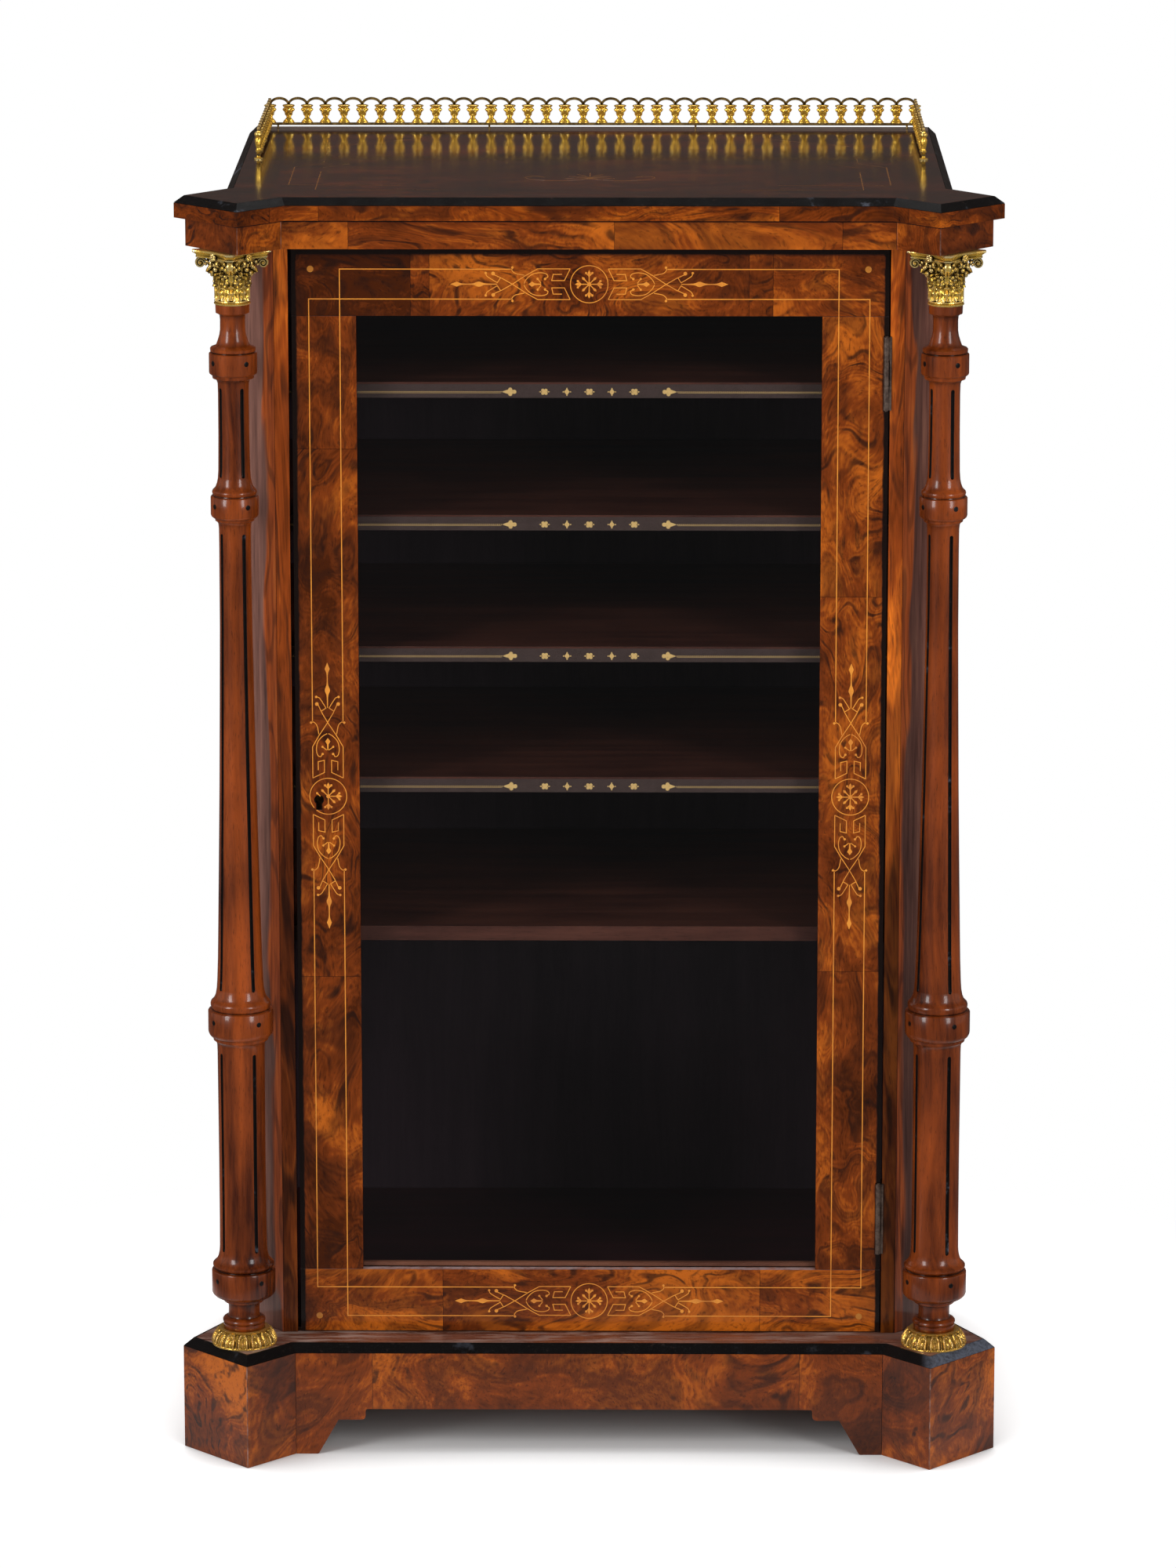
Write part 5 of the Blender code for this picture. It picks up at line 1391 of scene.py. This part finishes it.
# A foot under the rail: radius, then height above the least gap
RAIL_LEG = ((1.3, 0), (1.3, 0.3), (0.8, 0.5), (0.7, 1.4), (1.0, RAIL_FOOT + 0.2))
ARCH_SPRING, ARCH_RISE, ARCH_HALF_DEPTH = 15.2, 6.4, 1.05
BACK_BAYS, SIDE_BAYS = 35, 12
LEAST_GAP = 0.05    # between the slab and what stands on it


class CABINET_OT_gallery(CabinetOperator):
    """Cast the pierced gilt gallery round the top"""
    bl_idname = "cabinet.gallery"
    bl_label = "Cast gallery"

    def baluster(self, shape, middle, along):
        """A leafy vase, flattened along the way that the run is seen through."""
        steps = 32
        rows = []
        for up, half in BALUSTER:
            relief = 0.42 if 5.9 < up < 12.8 else (0.2 if 1.2 < up < 4 else 0.0)
            twist = 0.62 * (up - 5.9)
            row = []
            for i in range(steps):
                angle = 2 * math.pi * i / steps
                leaf = min(abs(math.cos(angle * 2 + twist)), abs(math.cos(angle * 2 - twist)))
                radius = half * (1 - relief * (0.75 - leaf))
                flat = Vector((radius * math.cos(angle), radius * 0.56 * math.sin(angle)))
                across = Vector((-along.y, along.x))
                spot = along * flat.x + across * flat.y
                row.append((middle.x + spot.x * MM, middle.y + spot.y * MM, middle.z + up * MM))
            rows.append(row)
        shape.grid(rows)

    def rail(self, shape, start, end, along, across):
        """Base rail with softened edges, on four small feet."""
        foot, head = SLAB_TOP + RAIL_FOOT * MM, SLAB_TOP + (RAIL_FOOT + RAIL_HEIGHT) * MM
        loops = []
        for z, half in ((foot, 0.8), (foot + 0.5 * MM, 1.0), (head - 0.6 * MM, 1.0), (head, 0.78)):
            first, last = start.xy - along * 1.6 * MM, end.xy + along * 1.6 * MM
            reach = across * RAIL_HALF * half * MM
            loops.append([(*(first - reach), z), (*(last - reach), z), (*(last + reach), z),
                          (*(first + reach), z)])
        shape.grid(loops, slot=1)
        leg = [(r * MM, (z + LEAST_GAP) * MM) for r, z in RAIL_LEG]
        for share in (0.012, 0.34, 0.66, 0.988):
            spot = start.lerp(end, share)
            shape.lathe(leg, (spot.x, spot.y, SLAB_TOP), 12, 1)

    def arch(self, shape, middle, pitch, along, across):
        """One arch from baluster to baluster."""
        thick = self.sizes.arch_thickness
        spring = SLAB_TOP + (RAIL_FOOT + RAIL_HEIGHT + ARCH_SPRING) * MM
        rows = []
        for k in range(15):
            angle = math.pi * k / 14
            cos, sin = math.cos(angle), math.sin(angle)
            outer = ((pitch / 2 + thick * 0.42) * cos, ARCH_RISE * MM * sin)
            inner = ((pitch / 2 - thick * 0.58) * cos, (ARCH_RISE * MM - thick) * sin)
            row = []
            for (out, up), side in ((outer, -1), (outer, 1), (inner, 1), (inner, -1)):
                flat = along * out + across * side * ARCH_HALF_DEPTH * MM
                row.append((middle.x + flat.x, middle.y + flat.y, spring + up))
            rows.append(row)
        shape.grid(rows, slot=1)

    def run(self, name, start, end, bays, nodes, skip=()):
        """Base rail, feet, balusters and arches from start to end."""
        shape = Shape()
        along = (end - start).normalized().xy
        across = Vector((-along.y, along.x))
        self.rail(shape, start, end, along, across)
        for i in range(bays + 1):
            if i not in skip:
                spot = start.lerp(end, i / bays)
                spot.z = SLAB_TOP + (RAIL_FOOT + RAIL_HEIGHT) * MM
                self.baluster(shape, spot, along)
        for i in range(bays):
            self.arch(shape, start.lerp(end, (i + 0.5) / bays), (end - start).length / bays, along, across)
        item = shape.made(name, ["gilt_gallery", "dull_gilt"], "carcass", sharp=40)
        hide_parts(*nodes)

    def post(self, side):
        low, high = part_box("gallery_post_" + side)
        centre = ((low.x + high.x) / 2, (low.y + high.y) / 2, SLAB_TOP + LEAST_GAP * MM)

        def leaves(angle, height):
            return 0.10 * abs(math.cos(4 * angle)) - 0.06 if 9 * MM < height < 18 * MM else 0
        shape = Shape()
        shape.lathe([(r * MM, z * MM) for z, r in POST], centre, 20, swell=leaves)
        item = shape.made("cast_gallery_post_" + side, ["gilt_gallery"], "carcass")
        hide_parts("gallery_post_" + side)
        return centre

    def execute(self, context):
        back_low, back_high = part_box("gallery_back")
        back = (back_low.y + back_high.y) / 2
        posts = {side: self.post(side) for side in SIDES}
        left = Vector((posts["left"][0], back, SLAB_TOP))
        right = Vector((posts["right"][0], back, SLAB_TOP))
        self.run("cast_gallery_back", left, right, BACK_BAYS, ["gallery_back"])
        for side, corner in (("left", left), ("right", right)):
            start = Vector((*posts[side][:2], SLAB_TOP))
            self.run("cast_gallery_" + side, start, corner, SIDE_BAYS, ["gallery_" + side],
                     skip=(0, SIDE_BAYS))
        return {"FINISHED"}


def on_door(point, lift):
    return Vector((point[0], DOOR_FACE - lift, point[1]))


class CABINET_OT_door_inlay(CabinetOperator):
    """Let the boxwood lines, ornaments and dots into the door"""
    bl_idname = "cabinet.door_inlay"
    bl_label = "Inlay door"

    OUTER_X, OUTER_LOW, OUTER_HIGH = 222.8, 131.8, 951.0
    INNER_X, INNER_LOW, INNER_HIGH = 198.2, 107.2, 975.0
    RAIL_MOTIFS = (120.0, 963.0)
    STILE_MOTIF = (210.6, 545.4)

    @staticmethod
    def laps(outline, keyhole):
        """Whether an outline's middle lies in the keyhole."""
        low, high = keyhole
        x, z = [sum(values) / len(outline) for values in zip(*outline)]
        return low.x - 0.6 < x < high.x + 0.6 and low.z - 0.6 < z < high.z + 0.6

    def let_in(self, name, outlines, finish, share=1.0):
        """One inlay of the door, standing proud of its face by a share of the usual height."""
        item = inlay(name, scaled(outlines, MM), on_door, finish, "door", self.sizes.inlay_proud * share)

    def execute(self, context):
        width = self.sizes.line_width / MM
        end = STRING_END
        outlines, dots = [], []
        for x_side in (-1, 1):
            for z_corner, z_way in ((0, -1), (1, 1)):
                for half_x, low, high in ((self.OUTER_X, self.OUTER_LOW, self.OUTER_HIGH),
                                          (self.INNER_X, self.INNER_LOW, self.INNER_HIGH)):
                    z = (low, high)[z_corner]
                    line = [(x_side * end, z), (x_side * half_x, z),
                            (x_side * half_x, self.STILE_MOTIF[1] + z_way * end)]
                    outlines += stroke(line, width)
                z = (self.INNER_LOW, self.INNER_HIGH)[z_corner]
                dots += disc((x_side * (self.OUTER_X - 1.4), z), self.sizes.dot_diameter / MM / 2, 24)
        self.let_in("inlay_strings", outlines, "boxwood")
        self.let_in("inlay_dots", dots, "toned_boxwood")
        ornament = ornament_outlines(width * 0.88)
        keyhole = [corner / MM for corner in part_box("keyhole_escutcheon")]
        places = [("inlay_rail_bottom", 0, self.RAIL_MOTIFS[0], False),
                  ("inlay_rail_top", 0, self.RAIL_MOTIFS[1], False),
                  ("inlay_stile_lock", -self.STILE_MOTIF[0], self.STILE_MOTIF[1], True),
                  ("inlay_stile_hinge", self.STILE_MOTIF[0], self.STILE_MOTIF[1], True)]
        for name, x, z, upright in places:
            outlines = []
            for outline in ornament:
                moved = [(p[upright] + x, p[1 - upright] + z) for p in outline]
                if not self.laps(moved, keyhole):
                    outlines.append(moved)
            self.let_in(name, outlines, "boxwood", 1.3)
        return {"FINISHED"}


class CABINET_OT_glazing(CabinetOperator):
    """Fit the rounded lip that shows under the glass"""
    bl_idname = "cabinet.glazing"
    bl_label = "Fit glazing lip"

    # Depth behind the glazing bead's face, then height above the bottom rail
    SECTION = (
        (0.0, 0.1), (0.0, 2.2), (0.6, 3.0), (1.8, 3.5), (3.6, 3.6), (5.4, 3.3), (6.6, 2.4), (7.0, 0.1))

    def execute(self, context):
        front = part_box("glazing_bead")[0].y
        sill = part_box("door_rail_bottom")[1].z
        left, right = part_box("door_stile_lock")[1].x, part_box("door_stile_hinge")[0].x
        rows = []
        for i in range(25):
            x = left + 0.0001 + (right - left - 0.0002) * i / 24
            rows.append([(x, front + deep * MM, sill + up * MM) for deep, up in self.SECTION])
        shape = Shape()
        shape.grid(rows)
        item = shape.made("glazing_lip", ["glazing_lip"], "door", sharp=50)
        return {"FINISHED"}


def on_top(point, lift):
    return Vector((point[0], FRONT + point[1], SLAB_TOP + lift))


class CABINET_OT_top_inlay(CabinetOperator):
    """Let the faint lines and leaf ornament into the top"""
    bl_idname = "cabinet.top_inlay"
    bl_label = "Inlay top"

    # Millimetres from the middle, then behind the plinth's front plane
    FAINT_LINES = (
        ((240, 180), (217.5, 200), (217.5, 300), (150, 345)), ((217.5, 176), (196, 198)),
        ((217.5, 52), (120, 52)), ((240, 78), (150, 78)))
    SIDE_LINES = ((240, 78), (217.5, 52))
    SIDE_LENGTH = 102
    TENDRIL = ((5, 110), (26, 103), (46, 110), (52, 122), (44, 129), (37, 123))
    LINE, PROUD = 0.8, 0.04

    def execute(self, context):
        width = self.LINE
        outlines, faint = [], []
        for side in (-1, 1):
            for points in self.FAINT_LINES:
                faint += stroke([(side * x, y) for x, y in points], width * 0.7)
            for x, y in self.SIDE_LINES:
                outlines += stroke([(side * x, y), (side * x, y + self.SIDE_LENGTH)], width)
        for k in range(-3, 4):
            angle = math.pi / 2 + k * 0.36
            length = 34 - 3.4 * abs(k)
            foot = Vector((2.2 * k, 112))
            way = Vector((math.cos(angle), math.sin(angle)))
            tip = foot + way * length + Vector((1.8 * -k, -2.5 * abs(k)))
            vein = [tuple(foot), tuple(foot + way * length * 0.6), tuple(tip)]
            outlines += stroke(smooth_line(vein), width)
        for side in (-1, 1):
            tendril = [(side * x, y) for x, y in self.TENDRIL]
            outlines += stroke(smooth_line(tendril), width)
        for name, lines, finish in (("inlay_top", outlines, "faded_boxwood"),
                                    ("inlay_top_lines", faint, "worn_boxwood")):
            item = inlay(name, scaled(lines, MM), on_top, finish, "carcass", self.PROUD * MM)
        return {"FINISHED"}


class CABINET_OT_leather_tooling(CabinetOperator):
    """Tool the gilt lines and leaf ends on the leather strips"""
    bl_idname = "cabinet.leather_tooling"
    bl_label = "Tool leather"

    LEAF_X = 63.2
    DROP = 1.4          # how far the row of beads lies below the strip's middle
    BEADS = 112         # on each side
    RUBBED = 1.5        # height of the rubbed wood along the strip's upper edge
    FLOWERS = (-36.0, -18.0, 0.0, 18.0, 36.0)
    TOOLED_PROUD, RUBBED_PROUD = 0.08, 0.10

    def outlines(self, half_width):
        found = []
        for side in (-1, 1):
            first, last = self.LEAF_X + 7.5, half_width - 2.5
            for i in range(self.BEADS):
                x = side * (first + (last - first) * i / (self.BEADS - 1))
                found += disc((x, 0), 0.42, 8)
            found += stroke([(side * first, -0.95), (side * last, -0.95)], 0.22)
            found += self.leaf_end(side)
        for number, x in enumerate(self.FLOWERS):
            if number % 2:
                found += [[(x, 2.9), (x - 2.2, 0), (x, -2.9), (x + 2.2, 0)]]
                for k in range(4):
                    angle = k * math.pi / 2
                    found += disc((x + 2.9 * math.cos(angle), 2.9 * math.sin(angle) * 0.94), 0.55, 10)
                continue
            for k in range(4):
                angle = k * math.pi / 2 + math.pi / 4
                found += disc((x + 1.75 * math.cos(angle), 1.75 * math.sin(angle)), 1.30, 14)
            found += disc((x, 0), 0.9, 10)
            found += [[(x + 4.4, 0), (x + 3.2, 0.6), (x + 2.2, 0), (x + 3.2, -0.6)],
                      [(x - 2.2, 0), (x - 3.2, 0.6), (x - 4.4, 0), (x - 3.2, -0.6)]]
        return found

    def leaf_end(self, side):
        """Three lobes on a stalk that points outwards."""
        found = []
        for x, y, radius in ((-3.1, 0, 1.7), (0.1, 1.85, 1.6), (0.1, -1.85, 1.6), (-0.6, 0, 1.9)):
            found += disc((side * (self.LEAF_X + x), y), radius, 16)
        outline = [(self.LEAF_X + 0.6, 2.1), (self.LEAF_X + 3.4, 1.3), (self.LEAF_X + 6.4, 0.2),
                   (self.LEAF_X + 6.4, -0.2), (self.LEAF_X + 3.4, -1.3), (self.LEAF_X + 0.6, -2.1)]
        found.append([(side * x, y) for x, y in outline])
        return found

    def execute(self, context):
        for number in SHELVES[:4]:
            low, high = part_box("leather_fall_" + number)
            middle = (low.z + high.z) / 2 - self.DROP * MM
            reach, upper = high.x / MM, (high.z - middle) / MM
            lower = upper - self.RUBBED
            lines = scaled(self.outlines(reach), MM)
            edge = scaled([[(-reach, lower), (reach, lower), (reach, upper), (-reach, upper)]], MM)

            def place(point, lift):
                return Vector((point[0], low.y - lift, middle + point[1]))
            item = inlay("gilt_tooling_" + number, lines, place, "tooled_gilt", "carcass",
                         self.TOOLED_PROUD * MM)
            item = inlay("rubbed_edge_" + number, edge, place, "shelf_wood", "carcass",
                         self.RUBBED_PROUD * MM)
        return {"FINISHED"}


class CABINET_OT_stage(CabinetOperator):
    """Set the floor, the light and the camera"""
    bl_idname = "cabinet.stage"
    bl_label = "Set stage"

    ROOM = 0.42          # level of the room's light on the object
    MIRRORED = 0.08      # what polish and metal see of the room
    WALLS = 0.45         # how much brighter its side walls look to them
    FLOOR_REACH = 14.0
    # Name, place, width and height, power
    LAMPS = (
        ("key_lamp", (-3.1, -2.9, 2.0), (1.1, 2.2), 78),
        ("fill_lamp", (2.6, -3.3, 1.9), (1.0, 2.2), 62),
        ("top_lamp", (0.0, 1.0, 3.3), (2.4, 1.2), 30))
    LAMPS_AIM = (0, 0, 0.55)
    # The camera's place and tilt come from a fit of the cabinet's corners
    CAMERA_PLACE = (0.0392, FRONT - 5.390, 1.8241)
    CAMERA_TURN = (math.pi / 2 - 0.2296, 0, 0.0074)
    CAMERA_LENS = 158.6

    def execute(self, context):
        scene = context.scene
        scene.view_settings.view_transform = "Standard"
        self.set_world(scene)
        self.set_floor(scene)
        self.set_lamps(scene)
        self.set_camera(scene)
        return {"FINISHED"}

    def set_world(self, scene):
        """A white world; polish and metal see a dimmer, warmer room with paler side walls."""
        world = bpy.data.worlds.new("studio")
        world.use_nodes = True
        scene.world = world
        finish = Finish("studio", world.node_tree, "ShaderNodeOutputWorld")
        seen, mirrored = finish.rays()
        x, _, _ = finish.parts(finish.node("ShaderNodeTexCoord", output="Generated"))
        sideways = (x * x).between(0.55, 0.92) * self.WALLS + self.MIRRORED
        room = mirrored * (1 - seen)
        level = seen * (1 - self.ROOM) + room * (sideways - self.ROOM) + self.ROOM
        tint = finish.mix(room, (1, 1, 1), (1.0, 0.80, 0.72))
        finish.show(finish.node("ShaderNodeBackground", None, {"Color": tint, "Strength": level}))

    def floor_finish(self):
        """White, with the shadow round the object deepened by a painted shadow, where ambient occlusion
        takes away the floor's glow, and glowing like the world further out.
        """
        finish = Finish("studio_floor")
        x, y, _ = finish.parts(finish.stretched(finish.place(), (1 / 0.75, 1 / 0.62, 0)))
        away = ((x * x + y * y) ** 0.5).between(0.50, 1.05)
        seen, mirrored = finish.rays()
        matt = finish.node("ShaderNodeBsdfDiffuse", None, {"Color": (0.92, 0.92, 0.92)})
        # Ambient occlusion takes the glow away under and beside the object: a painted shadow
        painted_shadow_ao = finish.node("ShaderNodeAmbientOcclusion", {"samples": 16}, {"Distance": 0.18}, "AO")
        lift = seen * (painted_shadow_ao.between(0.34, 0.86) * 0.62)
        lift = finish.emission(combined(finish, lift, lift, lift))
        near = finish.node("ShaderNodeAddShader", None, {0: matt, 1: lift})
        white = (1, 1, 1)
        far = finish.shader_mix(mirrored, finish.emission(white), finish.emission(white, self.MIRRORED))
        far = finish.shader_mix(seen.larger(mirrored), matt, far)
        return finish.show(finish.shader_mix(away, near, far))

    def set_floor(self, scene):
        mesh = bpy.data.meshes.new("studio_floor")
        corners = ((-1, -1), (1, -1), (1, 1), (-1, 1))
        mesh.from_pydata([(x * self.FLOOR_REACH, y * self.FLOOR_REACH, 0) for x, y in corners], [],
                         [(0, 1, 2, 3)])
        mesh.materials.append(self.floor_finish())
        item = bpy.data.objects.new("studio_floor", mesh)
        item.location.z = -0.0002    # just under the plinth's foot
        scene.collection.objects.link(item)

    def set_lamps(self, scene):
        for name, place, size, power in self.LAMPS:
            lamp = bpy.data.lights.new(name, "AREA")
            lamp.shape = "RECTANGLE"
            lamp.size, lamp.size_y = size
            lamp.energy = power
            item = bpy.data.objects.new(name, lamp)
            item.location = place
            way = Vector(self.LAMPS_AIM) - Vector(place)
            item.rotation_euler = way.to_track_quat("-Z", "Y").to_euler()
            scene.collection.objects.link(item)

    def set_camera(self, scene):
        camera = bpy.data.cameras.new("camera")
        camera.sensor_width = 36
        camera.lens = self.CAMERA_LENS
        camera.clip_end = 50
        item = bpy.data.objects.new("camera", camera)
        item.location = self.CAMERA_PLACE
        item.rotation_euler = self.CAMERA_TURN
        scene.collection.objects.link(item)
        scene.camera = item


STEPS = (CABINET_OT_finishes, CABINET_OT_columns, CABINET_OT_capitals, CABINET_OT_foot_rings,
         CABINET_OT_gallery, CABINET_OT_door_inlay, CABINET_OT_glazing, CABINET_OT_top_inlay,
         CABINET_OT_leather_tooling, CABINET_OT_stage)


class CABINET_PT_panel(bpy.types.Panel):
    """Steps, sizes and colours of the cabinet."""
    bl_label = "Sheet music cabinet"
    bl_idname = "CABINET_PT_panel"
    bl_space_type = "VIEW_3D"
    bl_region_type = "UI"
    bl_category = "Cabinet"

    def draw(self, context):
        for step in STEPS:
            self.layout.operator(step.bl_idname)
        for group in (context.scene.cabinet_sizes, context.scene.cabinet_colours):
            for name in group.__annotations__:
                self.layout.prop(group, name)


CLASSES = (CabinetColours, CabinetSizes, *STEPS, CABINET_PT_panel)


def register():
    for item in CLASSES:
        bpy.utils.register_class(item)
    bpy.types.Scene.cabinet_colours = bpy.props.PointerProperty(type=CabinetColours)
    bpy.types.Scene.cabinet_sizes = bpy.props.PointerProperty(type=CabinetSizes)


def unregister():
    del bpy.types.Scene.cabinet_sizes
    del bpy.types.Scene.cabinet_colours
    for item in reversed(CLASSES):
        bpy.utils.unregister_class(item)


def main():
    register()
    for step in STEPS:
        group, name = step.bl_idname.split(".")
        getattr(getattr(bpy.ops, group), name)()


if __name__ == "__main__":
    main()
